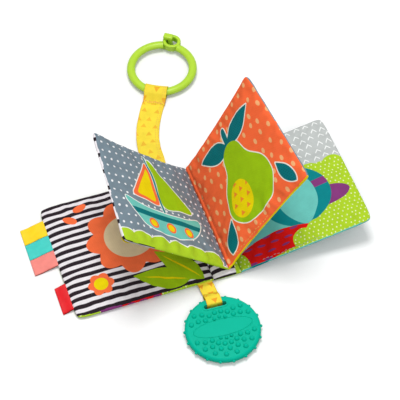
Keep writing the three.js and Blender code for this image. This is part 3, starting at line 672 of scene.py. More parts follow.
left_outside_layers = [
    layer(red_dashes, oval(84, -66, 30, 20), oval(100, 30, 22, 22)),
    layer(PURPLE, oval(110, -70, 12, 9), oval(30, 20, 16, 16)),
]
right_outside_layers = [
    layer(TEAL, oval(90, 10, 34, 34), oval(20, -60, 24, 14)),
    layer(PALE_LIME, oval(90, 10, 20, 20)),
]
leaf_outside_layers = [layer(lime_dots, oval(40, -74, 62, 15))]
slate_outside_layers = [
    layer(YELLOW, corners_at((-10, -90), (150, -90), (150, -68), (-10, -68))),
    layer(AQUA, oval(70, 0, 40, 40)),
    layer(CREAM, oval(70, 0, 24, 24)),
]
spine_layers = [layer(lime_dots, corners_at((24.7, -90), (40, -90), (40, 90), (24.7, 90)))]


def dress_leaf(name, counts, inside, inside_layers, outside, outside_layers, fill):
    cloths = [
        printed_cloth(f"{name}_inside_cloth", inside, inside_layers),
        printed_cloth(f"{name}_outside_cloth", outside, outside_layers),
    ]
    piece = padded_shell(f"{name}_cloth", LEAVES[name], counts, cloths, [inside_layers, outside_layers])
    return piece


LEAF_GRID, SPINE_GRID = (150, 146), (50, 146)
left_cover, right_cover, left_leaf, right_leaf, spine = (
    dress_leaf(*settings)
    for settings in (
        ("left_cover", LEAF_GRID, striped, left_page_layers, lime_dots, left_outside_layers, 0.5),
        ("right_cover", LEAF_GRID, grey_ticks, right_page_layers, AQUA, right_outside_layers, 0.5),
        ("left_leaf", LEAF_GRID, slate_dots, left_leaf_layers, barred, leaf_outside_layers, 0.4),
        ("right_leaf", LEAF_GRID, coral_dots, right_leaf_layers, SLATE, slate_outside_layers, 0.4),
        ("spine", SPINE_GRID, spine_striped, spine_layers, lime_dots, [], 0.6),
    )
)


def object_place(tree):
    return put(tree, "ShaderNodeTexCoord", {}, 3)


# A material clouded between two colours, with the cloud as its fine relief too
def clouded(name, scale, detail, colours, strength, distance, cloud_rough=0.5, **look):
    material, tree = new_material(name)
    cloud = noise(tree, object_place(tree), scale, detail, Roughness=cloud_rough)
    colour = mixed(tree, cloud, *[linear(colour) for colour in colours])
    return finish_material(material, colour, (strength, distance, cloud), **look)


def film_material():
    material, tree = new_material("crackling_film")
    voronoi = {"Vector": object_place(tree), "Scale": 90.0}
    folds = put(tree, "ShaderNodeTexVoronoi", voronoi, feature="DISTANCE_TO_EDGE")
    # Painted crease shade: the film is coloured darker along its crease lines, which also make its bump
    colour = mixed(tree, folds, linear("#CBD5DA"), linear("#E6ECEF"))
    return finish_material(material, colour, (0.6, 0.0004, folds), Roughness=0.22, Alpha=0.85)


# Loose wadding and the thin crackling film inside each leaf
WADDING = clouded(
    "loose_wadding", 400.0, 5.0, ("#E4E1D8", "#FBFAF6"), 0.8, 0.0006, 0.7, Roughness=0.95, Sheen_Weight=0.3
)
FILM = film_material()
INSET, SPINE_INSET = 9.0, 3.0
# The share of a leaf's height that its fillings take, and how far they stay inside its cloth
FILLED = 0.88
WAD_GAP, WAD_UNDER_FILM, FILM_THICKNESS = 0.9, 1.5, 0.2


def fill_leaf(name, with_film):
    leaf = LEAVES[name]
    inset = INSET if with_film else SPINE_INSET
    reach = np.linspace(inset, leaf["width"] - inset, 40), np.linspace(-FILLED, FILLED, 40)
    p, t = np.meshgrid(*reach, indexing="ij")
    top = 0.15 + leaf["top"] * crown(leaf, p, t)
    bottom = -0.15 - leaf["bottom"] * np.minimum(1, crown(leaf, p, t) / leaf["flat_from"])

    def layer_between(piece_name, high, low, material):
        upper, lower = leaf_point(leaf, p, t, high), leaf_point(leaf, p, t, low)
        return closed_grid(piece_name, upper, lower, [material], leaf["side"] < 0)

    under = WAD_UNDER_FILM if with_film else WAD_GAP
    wad = layer_between(f"{name}_loose_wadding", top - under, bottom + WAD_GAP, WADDING)
    pieces = [(wad, f"{name}_wadding_pad" if with_film else "spine_wadding")]
    if with_film:
        film = layer_between(f"{name}_film", top - WAD_GAP, top - WAD_GAP - FILM_THICKNESS, FILM)
        pieces.append((film, f"{name}_crinkle_film"))
    return pieces


# Closed solid between two grids of points, with straight walls at its four sides
def closed_grid(name, upper, lower, materials, turned=False):
    rows, columns = upper.shape[:2]
    top = np.arange(rows * columns).reshape(rows, columns)
    low = top + rows * columns
    sides = (low[:, 0], top[:, 0]), (top[:, -1], low[:, -1]), (top[0], low[0]), (low[-1], top[-1])
    faces = [grid_faces(top, turned), grid_faces(low, not turned)]
    faces += [grid_faces(np.stack(side), turned) for side in sides]
    points = np.concatenate([upper.reshape(-1, 3), lower.reshape(-1, 3)])
    return make_object(name, points, np.concatenate(faces), materials)


for body in ("left_cover", "right_cover", "left_leaf", "right_leaf", "spine"):
    for piece, node in fill_leaf(body, body != "spine"):
        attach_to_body(piece, body)
        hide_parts(node)


COVER_FOLD, LEAF_FOLD = (-0.8, 1.0), (-2.5, 2.5)
for piece, body, root_body, (start, end) in (
    (left_cover, "left_cover", "spine", COVER_FOLD),
    (right_cover, "right_cover", "spine", COVER_FOLD),
    (left_leaf, "left_leaf", "left_hem", LEAF_FOLD),
    (right_leaf, "right_leaf", "right_hem", LEAF_FOLD),
):
    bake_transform(piece)
    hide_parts(f"{body}_inside_panel", f"{body}_outside_panel")
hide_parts("left_leaf_hem")
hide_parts("right_leaf_hem")
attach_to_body(spine, "spine")
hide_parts("spine_inside_strip", "spine_outside_strip")


# The place between x, at the share low, and y, at the share high
def mix(x, y, low, high, share):
    return (x * (high - share) + y * (share - low)) / (high - low)


# A smooth curve through points, as even steps along it and the length up to each
def smooth_path(points, count):
    points = [np.array(point, float) for point in points]
    points = [2 * points[0] - points[1], *points, 2 * points[-1] - points[-2]]
    spots = []
    for a, b, c, d in zip(points, points[1:], points[2:], points[3:]):
        steps = [max(np.linalg.norm(y - x), 1e-6) ** 0.5 for x, y in ((a, b), (b, c), (c, d))]
        k = np.cumsum([0] + steps)
        for share in np.linspace(k[1], k[2], 24, endpoint=False):
            one, two = mix(a, b, k[0], k[1], share), mix(b, c, k[1], k[2], share)
            three = mix(c, d, k[2], k[3], share)
            one, two = mix(one, two, k[0], k[2], share), mix(two, three, k[1], k[3], share)
            spots.append(mix(one, two, k[1], k[2], share))
    spots = np.array([*spots, points[-2]])
    reach = np.concatenate([[0], np.cumsum(np.linalg.norm(np.diff(spots, axis=0), axis=1))])
    even = np.linspace(0, reach[-1], count)
    return np.stack([np.interp(even, reach, spots[:, k]) for k in range(3)], -1), even


def smoothstep(value, low, high):
    share = np.clip((value - low) / (high - low), 0, 1)
    return share * share * (3 - 2 * share)


def attach(piece, bodies, fold=None):
    if fold is None:
        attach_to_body(piece, *bodies)
    else:
        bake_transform(piece)


# A ribbon over a grid of middle points, with the ways along and across it, as a thin closed solid.
# Its own flat place is its "page".
def add_ribbon(name, ribbon, thickness, material, bodies, fold, node):
    middle, along, across = ribbon
    normal = np.cross(np.gradient(middle, axis=0), np.gradient(middle, axis=1))
    normal /= np.linalg.norm(normal, axis=-1, keepdims=True)
    piece = closed_grid(name, middle + normal * thickness / 2, middle - normal * thickness / 2, [material])
    q, p = np.meshgrid(along, across, indexing="ij")
    place = np.stack([p, q, 0 * q], -1).reshape(-1, 3)
    mark(piece.data, "page", np.concatenate([place] * 2))
    attach(piece, bodies, fold)
    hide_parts(node)


# Width of the painted shade along each edge of a printed ribbon
RIBBON_EDGE_SHADE = 1.6


# Printed ribbon: orange triangles on yellow, woven, with painted shade that darkens it towards its turned edges
def printed_ribbon(name, pitch, size, point, width, triangle):
    material, tree = new_material(name)
    place = page_place(tree)
    mask = triangles(tree, place, pitch, size, 0.5, 3.0, point)
    colour = mixed(tree, mask, linear("#F8DE40"), linear(triangle))
    aside = maths(tree, "ABSOLUTE", parts_of(tree, place)[0])
    # Painted shade: a deeper yellow over the last 1.6 mm towards each edge, where the ribbon turns
    painted_edge_shade = ramp(tree, aside, width / 2 - RIBBON_EDGE_SHADE, width / 2, 0.0, 0.35)
    colour = mixed(tree, painted_edge_shade, colour, linear("#F2B624"))
    return cloth_finish(material, colour, place, twill=1.8, roughness=0.62)


# Satin ribbon: close parallel threads across it, 1.1 mm apart, catch the light in a soft band
def satin(name, colour):
    material, tree = new_material(name)
    place = page_place(tree)
    thread = maths(tree, "SINE", maths(tree, "MULTIPLY", parts_of(tree, place)[1], 2 * math.pi / 1.1))
    shade = ramp(tree, noise(tree, place, 0.12, 2.0), 0.3, 0.7, 0.94, 1.05)
    look = dict(Roughness=0.5, Specular_IOR_Level=0.3, Anisotropic=0.4)
    return finish_material(material, scaled(tree, linear(colour)[:3], shade), (0.2, 0.0001, thread), **look)


STRAP_WIDTH, TEETHER_STRAP_WIDTH = 25.4, 16.0
STRAP_THICKNESS = 0.8
STRAP_ANGLE = math.radians(241)
STRAP_OUT = np.array([math.cos(STRAP_ANGLE), math.sin(STRAP_ANGLE), 0.0])
STRAP_CROSS = np.array([-STRAP_OUT[1], STRAP_OUT[0], 0.0])
RING_RADIUS, RING_TUBE, RING_TUBE_HEIGHT = 35.4, 4.7, 3.9
LOOP_REACH, LOOP_THICKNESS = 12.1, 0.6
LOOP_OUTER = RING_TUBE + LOOP_THICKNESS + 0.6
RING_MIDDLE = np.array([24.5, 220.8, LOOP_OUTER + 0.1])
strap_ribbon = printed_ribbon("ring_strap_print", (13.0, 11.5), 6.6, -1.0, STRAP_WIDTH, "#F2BE34")
loop_ribbon = printed_ribbon("ring_loop_print", (26.0, 10.0), 7.4, 1.0, STRAP_WIDTH, "#F0B02C")
# The teether ribbon's triangles are a deeper orange than the ring strap's, as painted shade
teether_ribbon = printed_ribbon("teether_strap_print_painted_shade", (12.0, 9.5), 6.8, -1.0, TEETHER_STRAP_WIDTH, "#F2A42A")


# The strap's middle line: sideways places and heights at distances beyond the left cover's back seam
STRAP_ROUTE = [
    (-29.3, 0.2, 3.0), (-28.4, 8.2, 1.6), (-26.5, 18.2, 1.0), (-25.1, 30.2, 0.9), (-24.6, 42.2, 1.3),
    (-21.8, 57.2, 2.4), (-16.3, 73.2, 2.1), (-10.4, 85.7, 1.0), (-4.8, 96.2, 1.1),
]
# Row of the ribbon's grid where its sewn end stops, and how far the free ribbon's bend reaches
SEWN_ROWS = 10
BEND_REACH = 14


def ring_strap_grid():
    end = RING_MIDDLE + STRAP_OUT * (RING_RADIUS + LOOP_REACH + 0.2)
    back = LEAVES["left_cover"]["height"] / 2
    points = [(x, back + distance, z) for x, distance, z in STRAP_ROUTE] + [(end[0], end[1], 1.6)]
    path, along = smooth_path(points, 110)
    share = along / along[-1]
    forward = np.gradient(path, axis=0)
    normal = np.stack([forward[:, 1], -forward[:, 0], 0 * forward[:, 0]], -1)
    normal /= np.linalg.norm(normal, axis=1, keepdims=True)
    normal *= np.sign(normal @ STRAP_CROSS)[:, None]
    turned, late = smoothstep(share, 0, 0.35)[:, None], smoothstep(share, 0.75, 1)[:, None]
    cross = np.array([1.0, 0, 0]) * (1 - turned) + normal * turned
    cross = cross * (1 - late) + STRAP_CROSS * late
    cross /= np.linalg.norm(cross, axis=1, keepdims=True)
    across = np.linspace(-1, 1, 27) * STRAP_WIDTH / 2
    grid = path[:, None] + cross[:, None] * across[None, :, None]
    q, p = np.meshgrid(along, across, indexing="ij")
    creases = 0.32 * waves(p, q, 41, 9, 26, 6) * np.sin(math.pi * np.clip(q / along[-1], 0, 1)) ** 0.4
    slant = hump(q - 0.46 * along[-1] + 0.35 * p, 3.2) * 0.9 - hump(q - 0.53 * along[-1] + 0.45 * p, 3.0) * 0.7
    grid[..., 2] = np.maximum(grid[..., 2] + creases + slant, 0.55)
    return grid, along, across


STRAP = ring_strap_grid()
STRAP_PARTS = (
    ("sewn", slice(0, SEWN_ROWS + 1), "left_cover", "ring_strap_sewn_end"),
    ("free", slice(SEWN_ROWS, None), "ring_strap_sewn_end", "ring_strap"),
)


# Two points on the middle line of a part of the strap, in metres: its first row, and then its last row on the
# sewn end and the row where the bend ends on the free ribbon
def strap_fold(part, root_body):
    grid, along, across = STRAP
    rows = grid[part][:, len(across) // 2] * MM
    last = -1 if root_body == "left_cover" else int(np.argmax(along[part] - along[part][0] > BEND_REACH))
    return tuple(rows[0]), tuple(rows[last])


for ending, part, *bodies in STRAP_PARTS:
    ribbon = STRAP[0][part], STRAP[1][part], STRAP[2]
    add_ribbon(
        f"{ending}_strap_ribbon", ribbon, STRAP_THICKNESS, strap_ribbon,
        bodies, strap_fold(part, bodies[0]), bodies[1],
    )


# The strap's end goes round the ring's tube and back to the line of cross stitches
def ring_loop_grid():
    radius = LOOP_OUTER - LOOP_THICKNESS / 2
    tangent = math.acos(radius / LOOP_REACH)
    spots = [(LOOP_REACH + 3.0, 0.5), (LOOP_REACH, 0.45)]
    angles = np.linspace(tangent, 2 * math.pi - tangent, 34)
    spots += [(radius * math.cos(a), radius * math.sin(a)) for a in angles]
    spots += [(LOOP_REACH, -0.45), (LOOP_REACH + 3.0, -0.4)]
    path, along = smooth_path([(x, 0, z) for x, z in spots], 90)
    across = np.linspace(-1, 1, 27) * STRAP_WIDTH / 2
    out, up = path[:, None, 0], path[:, None, 2]
    bend = RING_RADIUS - np.sqrt(RING_RADIUS**2 - across[None] ** 2)
    share = np.clip((out - LOOP_OUTER) / (LOOP_REACH - LOOP_OUTER), 0, 1)
    lift = RING_MIDDLE[2] * (1 - share) + 1.5 * share
    straight = 0.85 * np.clip(-out / LOOP_OUTER, 0, 1)
    bend = bend * (1 - straight) + bend.max() * straight
    reach = RING_RADIUS + out - bend * (1 - np.clip(out, 0, LOOP_REACH) / LOOP_REACH)
    q, p = np.meshgrid(along, across, indexing="ij")
    upper = smoothstep(-q, -0.48 * along[-1], -0.3 * along[-1])
    gather = 0.7 * waves(p, 0.3 * q, 43, 5, 11, 5) * np.exp(-((out - LOOP_REACH) ** 2) / 14) * upper
    height = np.maximum(lift + up + gather, 0.4)
    grid = RING_MIDDLE[:2] + reach[..., None] * STRAP_OUT[:2] + across[None, :, None] * STRAP_CROSS[:2]
    return np.concatenate([grid, height[..., None]], -1), along, across


RING_LOOP = ring_loop_grid()
add_ribbon(
    "ring_loop_ribbon", RING_LOOP, LOOP_THICKNESS, loop_ribbon,
    ["ring_loop"], None, "ring_strap_loop",
)


# Tags: short ribbons folded in two
TAG_GAP = 0.55
TAG_WIDTH, TAG_LENGTH = 19.9, 26.5
LABEL_WIDTH, LABEL_LENGTH = 33.0, 12.0
TAG_HINGE = 0.006


def add_tag(name, body, node, middle, width, length, colour, material):
    angles, sides = np.linspace(0, math.pi, 10), np.linspace(0, 1, 20)
    outs = [(length * s * 0.97, TAG_GAP + 0.35 * math.sin(math.pi * s)) for s in sides[:-1]]
    outs += [(length - TAG_GAP + TAG_GAP * math.sin(a), TAG_GAP * math.cos(a)) for a in angles]
    outs += [(length * s * 0.97, -TAG_GAP) for s in sides[-2::-1]]
    path, along = smooth_path([(x, 0, z) for x, z in outs], 80)
    across = np.linspace(-1, 1, 15) * width / 2
    root, leaf = middle + across, LEAVES["left_cover"]
    t = 2 * root / leaf["height"]
    edge = leaf_point(leaf, np.full_like(t, leaf["width"]), t, 0 * t)[:, 0] + 0.6
    out, up = path[:, None, 0], path[:, None, 2]
    share = out / length
    droop = 0.25 * waves(root[None] + 0 * out, out, len(name), 14, 40, 4) * share
    sag = SEAM + (1.05 - SEAM) * smoothstep(share, 0, 0.8) + droop
    grid = np.stack([edge[None] - out, root[None] - 0.14 * out, np.maximum(sag + up, 0.3)], -1)
    at = (float(edge.mean()) * MM, middle * MM, SEAM * MM)
    fold = at, (at[0] - TAG_HINGE, at[1], at[2])
    add_ribbon(
        name, (grid, along, across), 0.4, satin(material, colour),
        ["left_cover", body], fold, node,
    )


TAGS = ("pink", 7.4, "#F88C82"), ("turquoise", 27.7, "#40D2C6"), ("yellow", 48.0, "#FFDA10")
for kind, middle, colour in TAGS:
    add_tag(
        f"{kind}_tag_ribbon", f"{kind}_tag", f"{kind}_ribbon_tag", middle, TAG_WIDTH, TAG_LENGTH,
        colour, f"{kind}_satin_ribbon",
    )
add_tag(
    "red_tag_label", "red_tag", "red_label_tag", -43.6, LABEL_WIDTH, LABEL_LENGTH,
    "#E8141F", "red_woven_label",
)


# Teether and its ribbon
TEETHER_AT = np.array([-27.0, -133.8])
TEETHER_TURN = math.radians(-3)
TEETHER_RADIUS, TEETHER_THICKNESS, TEETHER_EDGE = 38.8, 7.6, 3.4
TEETHER_BASE = 1.1
TEETHER_TOP = TEETHER_BASE + TEETHER_THICKNESS
SLOT_AT, SLOT_LENGTH, SLOT_WIDTH = 27.6, 24.0, 5.0
LIP = 1.7
PANEL_LENGTH, PANEL_WIDTH = 62.0, 20.0
GROOVE = 0.7


# Turns points about the vertical
def turned_by(points, angle):
    c, s = math.cos(angle), math.sin(angle)
    points = np.asarray(points, float)
    x, y, z = points[..., 0], points[..., 1], points[..., 2]
    return np.stack([c * x - s * y, s * x + c * y, z], -1)


def by_teether(points):
    return turned_by(points, TEETHER_TURN) + [*TEETHER_AT, 0]


def teether_ribbon_ways(along):
    across = np.linspace(-1, 1, 17) * TEETHER_STRAP_WIDTH / 2
    q, p = np.meshgrid(along, across, indexing="ij")
    return across, q, p


def teether_loop_grid():
    high, low = TEETHER_TOP + 1.2, TEETHER_BASE - 0.65
    slot_face = SLOT_AT + SLOT_WIDTH / 2 - 0.65
    spots = [
        (46.0, 3.1), (43.6, 5.4), (41.0, 8.0), (39.2, high - 0.5), (36.5, high), (32.0, high + 0.1),
        (slot_face + 0.8, high), (slot_face, high - 0.9), (slot_face, 5.0), (slot_face, low + 0.9),
        (slot_face + 0.9, low), (35.0, low), (39.0, low + 0.05), (43.0, 1.3), (46.0, 2.3),
    ]
    path, along = smooth_path([(0, y, z) for y, z in spots], 90)
    across, q, p = teether_ribbon_ways(along)
    grid = np.stack([p, path[:, None, 1] + 0 * p, path[:, None, 2] + 0 * p], -1)
    grid[..., 2] += 0.18 * waves(p, q, 47, 8, 20, 4) * np.exp(-((q - 9) ** 2) / 60)
    return by_teether(grid), along, across


add_ribbon(
    "teether_loop_ribbon", teether_loop_grid(), 0.55, teether_ribbon,
    ["teether_loop"], None, "teether_strap_loop",
)


def teether_strap_grid():
    seam, crease = np.array([-25.7, -72.6, 3.2]), by_teether(np.array([0.0, 46.5, 2.9]))
    lifts = ((0, 0), (0.25, 0.5), (0.5, 0.8), (0.8, 0.1), (1, 0))
    path, along = smooth_path([seam * (1 - share) + crease * share + [0, 0, lift] for share, lift in lifts], 40)
    across, q, p = teether_ribbon_ways(along)
    grid = path[:, None] + across[None, :, None] * turned_by([1, 0, 0], TEETHER_TURN)
    fold = hump(q - 0.42 * along[-1] + 0.06 * p, 1.5) * 0.8
    grid[..., 2] = np.maximum(grid[..., 2] + 0.2 * waves(p, q, 48, 8, 20, 4) + fold, 0.5)
    return grid, along, across


add_ribbon(
    "teether_strap_ribbon", teether_strap_grid(), STRAP_THICKNESS, teether_ribbon,
    ["left_cover", "teether_strap"], ((-0.0257, -0.0732, 0.003), (-0.0252, -0.086, 0.003)),
    "teether_strap",
)


# Soft moulded silicone rubber: satin, with a faint cloudiness and a very fine moulded grain
def rubber_material():
    material, tree = new_material("moulded_silicone_rubber")
    place = object_place(tree)
    colour = mixed(tree, noise(tree, place, 35.0, 2.0), linear("#00B596"), linear("#02C0A2"))
    look = dict(Roughness=0.42, IOR=1.42, Specular_IOR_Level=0.08)
    return finish_material(material, colour, (0.15, 0.0001, noise(tree, place, 900.0, 1.0)), **look)


RUBBER = rubber_material()
# Injection moulded polypropylene: even colour, semi gloss, faint flow marks
PLASTIC = clouded(
    "moulded_polypropylene", 60.0, 1.0, ("#B2DC2C", "#BCE336"), 0.08, 0.0003, Roughness=0.36, IOR=1.49
)


def slot_outline(length, width):
    straight, half = (length - width) / 2, width / 2
    ends = np.linspace(-math.pi / 2, math.pi / 2, 12)
    right = [(straight + half * math.cos(a), half * math.sin(a)) for a in ends]
    return np.array(right + [(-x, -y) for x, y in right])


# Quads between rings of points, numbered from first
def ring_faces(rings, count, first=0):
    faces = []
    for start in range(first, first + (rings - 1) * count, count):
        faces += [(start + k, start + (k + 1) % count) for k in range(count)]
    return [(a, b, b + count, a + count) for a, b in faces]


# Upright wall over an outline: rings of it at the given insets and heights, closed at both ends
def stacked(outline, levels):
    rings, count = [], len(outline)
    out = outline - outline.mean(0)
    out /= np.linalg.norm(out, axis=1, keepdims=True)
    for inset, height in levels:
        rings.append(np.column_stack([outline - out * inset, np.full(count, height)]))
    last = (len(levels) - 1) * count
    ends = [tuple(range(count))[::-1], tuple(range(last, last + count))]
    return np.concatenate(rings), ring_faces(len(levels), count) + ends


def revolve(profile, count):
    c, s = np.cos(around(count)), np.sin(around(count))
    rings = [np.stack([r * c, r * s, np.full(count, z)], -1) for r, z in profile]
    points = np.concatenate([[(0, 0, profile[0][1])], *rings, [(0, 0, profile[-1][1])]])
    last = 1 + (len(profile) - 1) * count
    faces = [(0, 1 + (k + 1) % count, 1 + k) for k in range(count)] + ring_faces(len(profile), count, 1)
    return points, faces + [(len(points) - 1, last + k, last + (k + 1) % count) for k in range(count)]


# Cuts or joins a closed shape into another, in place
def combine(piece, shape, operation):
    tool = make_object("tool", *shape, [])
    solid = bmesh.new()
    solid.from_mesh(tool.data)
    bmesh.ops.recalc_face_normals(solid, faces=solid.faces)
    solid.to_mesh(tool.data)
    solid.free()
    modifier = piece.modifiers.new("combine", "BOOLEAN")
    modifier.operation, modifier.solver, modifier.object = operation, "EXACT", tool
    settle(piece, modifier)
    spare = tool.data
    bpy.data.objects.remove(tool)
    bpy.data.meshes.remove(spare)


# Takes what a modifier makes as the piece's own mesh
def settle(piece, modifier):
    mesh = bpy.data.meshes.new_from_object(piece.evaluated_get(bpy.context.evaluated_depsgraph_get()))
    piece.modifiers.remove(modifier)
    old, piece.data = piece.data, mesh
    bpy.data.meshes.remove(old)


def smooth_sides(piece, degrees):
    piece.data.polygons.foreach_set("use_smooth", np.full(len(piece.data.polygons), True))
    piece.data.set_sharp_from_angle(angle=math.radians(degrees))


# Surface through rings of points, joined end to end or closed with a flat face at each end
def swept(sections, closed):
    rows, columns = sections.shape[:2]
    index = np.arange(rows * columns).reshape(rows, columns)
    index = np.concatenate([index, index[:, :1]], 1)
    if closed:
        index = np.concatenate([index, index[:1]], 0)
    faces = [tuple(face) for face in grid_faces(index)]
    if not closed:
        faces += [tuple(index[0, :-1][::-1]), tuple(index[-1, :-1])]
    return sections.reshape(-1, 3), faces


def make_teether():
    profile = []
    for middle, start in ((TEETHER_BASE + TEETHER_EDGE, -90), (TEETHER_TOP - TEETHER_EDGE, 0)):
        for angle in np.radians(np.linspace(start, start + 90, 13)):
            c, s = TEETHER_EDGE * math.cos(angle), TEETHER_EDGE * math.sin(angle)
            profile.append((TEETHER_RADIUS - TEETHER_EDGE + c, middle + s))
    points, faces = revolve(profile, 144)
    piece = make_object("teether_moulding", by_teether(points), faces, [RUBBER])
    slot = [0, SLOT_AT]
    lip = [(inset, TEETHER_TOP + rise) for inset, rise in ((0.0, 0.25), (0.25, 0.5), (0.8, 0.6))]
    lip.insert(0, (0.0, TEETHER_BASE + 1))
    raised = stacked(slot_outline(SLOT_LENGTH + 2 * LIP, SLOT_WIDTH + 2 * LIP) + slot, lip)
    hole = stacked(slot_outline(SLOT_LENGTH, SLOT_WIDTH) + slot, [(0, -2), (0, TEETHER_TOP + 3)])
    angle, turn = around(96), around(10)
    a, b = PANEL_LENGTH / 2, PANEL_WIDTH / 2
    outward = np.stack([np.cos(angle) / a, np.sin(angle) / b], -1)
    outward /= np.linalg.norm(outward, axis=1, keepdims=True)
    side = np.stack([a * np.cos(angle), b * np.sin(angle)], -1)[:, None]
    side = side + outward[:, None] * (GROOVE * np.cos(turn))[None, :, None]
    heights = np.broadcast_to((TEETHER_TOP + 0.1 - GROOVE * np.sin(turn))[None, :, None], (96, 10, 1))
    groove = swept(np.concatenate([side, heights], -1), True)
    for (points, faces), operation in ((raised, "UNION"), (hole, "DIFFERENCE"), (groove, "DIFFERENCE")):
        combine(piece, (by_teether(points), faces), operation)
    smooth_sides(piece, 32)
    return piece


teether = make_teether()
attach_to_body(teether, "teether")
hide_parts("teether")


# Geometry Nodes: one closed round shape on every point of a mesh, as wide and high as the inputs
# say, or end to end along its edges with a gap between, as the inputs say
def repeat_tree(name, sizes, in_line):
    tree = bpy.data.node_groups.new(name, "GeometryNodeTree")
    sockets = [("Geometry", "Geometry")] + [(size, "Float") for size in sizes] + [("Material", "Material")]
    for title, kind in sockets:
        tree.interface.new_socket(title, in_out="INPUT", socket_type=f"NodeSocket{kind}")
    tree.interface.new_socket("Geometry", in_out="OUTPUT", socket_type="NodeSocketGeometry")
    start = put(tree, "NodeGroupInput").node.outputs
    if in_line:
        step = maths(tree, "ADD", start["Length"], start["Gap"])
        curve = put(tree, "GeometryNodeMeshToCurve", {0: start["Geometry"]})
        points = put(tree, "GeometryNodeResampleCurve", {"Curve": curve, "Length": step}, mode="LENGTH")
        tangent = put(tree, "GeometryNodeInputTangent")
        turn = {"Rotation": put(tree, "FunctionNodeAlignRotationToVector", {"Vector": tangent}, axis="X")}
        size = maths(tree, "MULTIPLY", start["Length"], 0.5), start["Radius"], start["Radius"]
        steps = {"Segments": 6, "Rings": 5}
    else:
        points = put(tree, "GeometryNodeMeshToPoints", {"Mesh": start["Geometry"], "Radius": 0.001})
        turn = {}
        reach = put(tree, "GeometryNodeInputNamedAttribute", {"Name": "reach"}, data_type="FLOAT")
        wide = maths(tree, "MULTIPLY", reach, start["Width"])
        size = wide, wide, start["Height"]
        steps = {"Segments": 14, "Rings": 10}
    scale = put(tree, "ShaderNodeCombineXYZ", dict(enumerate(size)))
    dome = put(tree, "GeometryNodeMeshUVSphere", {**steps, "Radius": 1.0})
    sockets = {"Points": points, "Instance": dome, "Scale": scale, **turn}
    real = put(tree, "GeometryNodeRealizeInstances", {0: put(tree, "GeometryNodeInstanceOnPoints", sockets)})
    smooth = put(tree, "GeometryNodeSetShadeSmooth", {0: real})
    done = put(tree, "GeometryNodeSetMaterial", {"Geometry": smooth, "Material": start["Material"]})
    put(tree, "NodeGroupOutput", {0: done})
    return tree


def repeated(name, tree, points, edges, sizes, material, reach=None):
    mesh = bpy.data.meshes.new(name)
    mesh.from_pydata((np.asarray(points, float) * MM).tolist(), edges, [])
    if reach is not None:
        mark(mesh, "reach", reach)
    piece = add_object(name, mesh)
    modifier = piece.modifiers.new("repeat", "NODES")
    modifier.node_group = tree
    wanted = dict({key: size * MM for key, size in sizes.items()}, Material=material)
    for item in tree.interface.items_tree:
        if item.in_out == "INPUT" and item.name in wanted:
            modifier[item.identifier] = wanted[item.name]
    settle(piece, modifier)
    return piece


BUMP_TREE = repeat_tree("teether_bumps", ["Width", "Height"], False)
STITCH_TREE = repeat_tree("running_stitches", ["Length", "Gap", "Radius"], True)
BUMP_HEIGHT, NUB_SIZE, NUB_STEPS = 2.6, 1.7, 18
# The lower face's bumps stay clear of the table
BUMP_SINK = 1.6


# Bumps lie on rings round the middle, every other ring half a step on, off the panel and the slot
def bump_places():
    places = []
    for ring, count in enumerate((14, 18, 18, 18)):
        radius = 13 + 6.3 * ring
        size = 1.9 if ring == 0 else 2.6
        for n in range(count):
            angle = math.pi / 2 + 2 * math.pi * (n + (ring % 2) / 2) / count
            x, y = radius * math.cos(angle), radius * math.sin(angle)
            on_panel = (2 * x / PANEL_LENGTH) ** 2 + (2 * y / PANEL_WIDTH) ** 2 < 1.25
            off_slot = abs(x) - SLOT_LENGTH / 2, abs(y - SLOT_AT) - SLOT_WIDTH / 2
            if not on_panel and max(off_slot) >= 1.8 + size:
                places.append((x, y, size))
    return places


def add_bumps():
    heights = (TEETHER_TOP, TEETHER_BASE + BUMP_SINK)
    spots = [(x, y, height, size) for x, y, size in bump_places() for height in heights]
    angles = [math.pi / 2 + 2 * math.pi * n / NUB_STEPS for n in range(1, NUB_STEPS)]
    middle = (TEETHER_TOP + TEETHER_BASE) / 2
    rim = [(TEETHER_RADIUS * math.cos(a), TEETHER_RADIUS * math.sin(a), middle, NUB_SIZE) for a in angles]
    kinds = ("teether_face_bumps", spots, BUMP_HEIGHT), ("teether_rim_nubs", rim, NUB_SIZE)
    for name, places, height in kinds:
        places = np.array(places)
        sizes = {"Width": 1.0, "Height": height}
        piece = repeated(name, BUMP_TREE, by_teether(places[:, :3]), [], sizes, RUBBER, places[:, 3])
        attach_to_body(piece, "teether")


add_bumps()


# Link ring: an open ring of oval section, an eyelet on one end and a tongue with a peg on the other
EYELET_OFFSET, EYELET_WALL, EYELET_HEIGHT = 4.2, 3.8, 8.4
EYELET_HALF_LENGTH, EYELET_HALF_WIDTH = 21.0 / 2, 19.8 / 2
LOCK_ANGLE = math.radians(55)
LOCK_GAP = 0.4
TONGUE_HEIGHT, TONGUE_INSET = 2.6, 1.6
TONGUE_DEPTH = EYELET_HEIGHT / 2 + 0.5 + TONGUE_HEIGHT
RING_TILT = math.asin((RING_MIDDLE[2] - TONGUE_DEPTH - 0.1) / (2 * RING_RADIUS - TONGUE_INSET))


def by_ring(points):
    tilt = np.array(Matrix.Rotation(-RING_TILT, 3, Vector(STRAP_CROSS)))
    return turned_by(points, LOCK_ANGLE) @ tilt.T + RING_MIDDLE - [0, 0, RING_RADIUS * math.sin(RING_TILT)]


def rounded_box(start, end, radius):
    shape = bmesh.new()
    bmesh.ops.create_cube(shape, size=1.0)
    bmesh.ops.scale(shape, vec=np.subtract(end, start), verts=shape.verts)
    bmesh.ops.bevel(shape, geom=shape.edges, offset=radius, segments=3, profile=0.5, affect="EDGES")
    bmesh.ops.translate(shape, vec=np.add(end, start) / 2, verts=shape.verts)
    points = np.array([v.co for v in shape.verts])
    faces = [tuple(v.index for v in face.verts) for face in shape.faces]
    shape.free()
    return points, faces


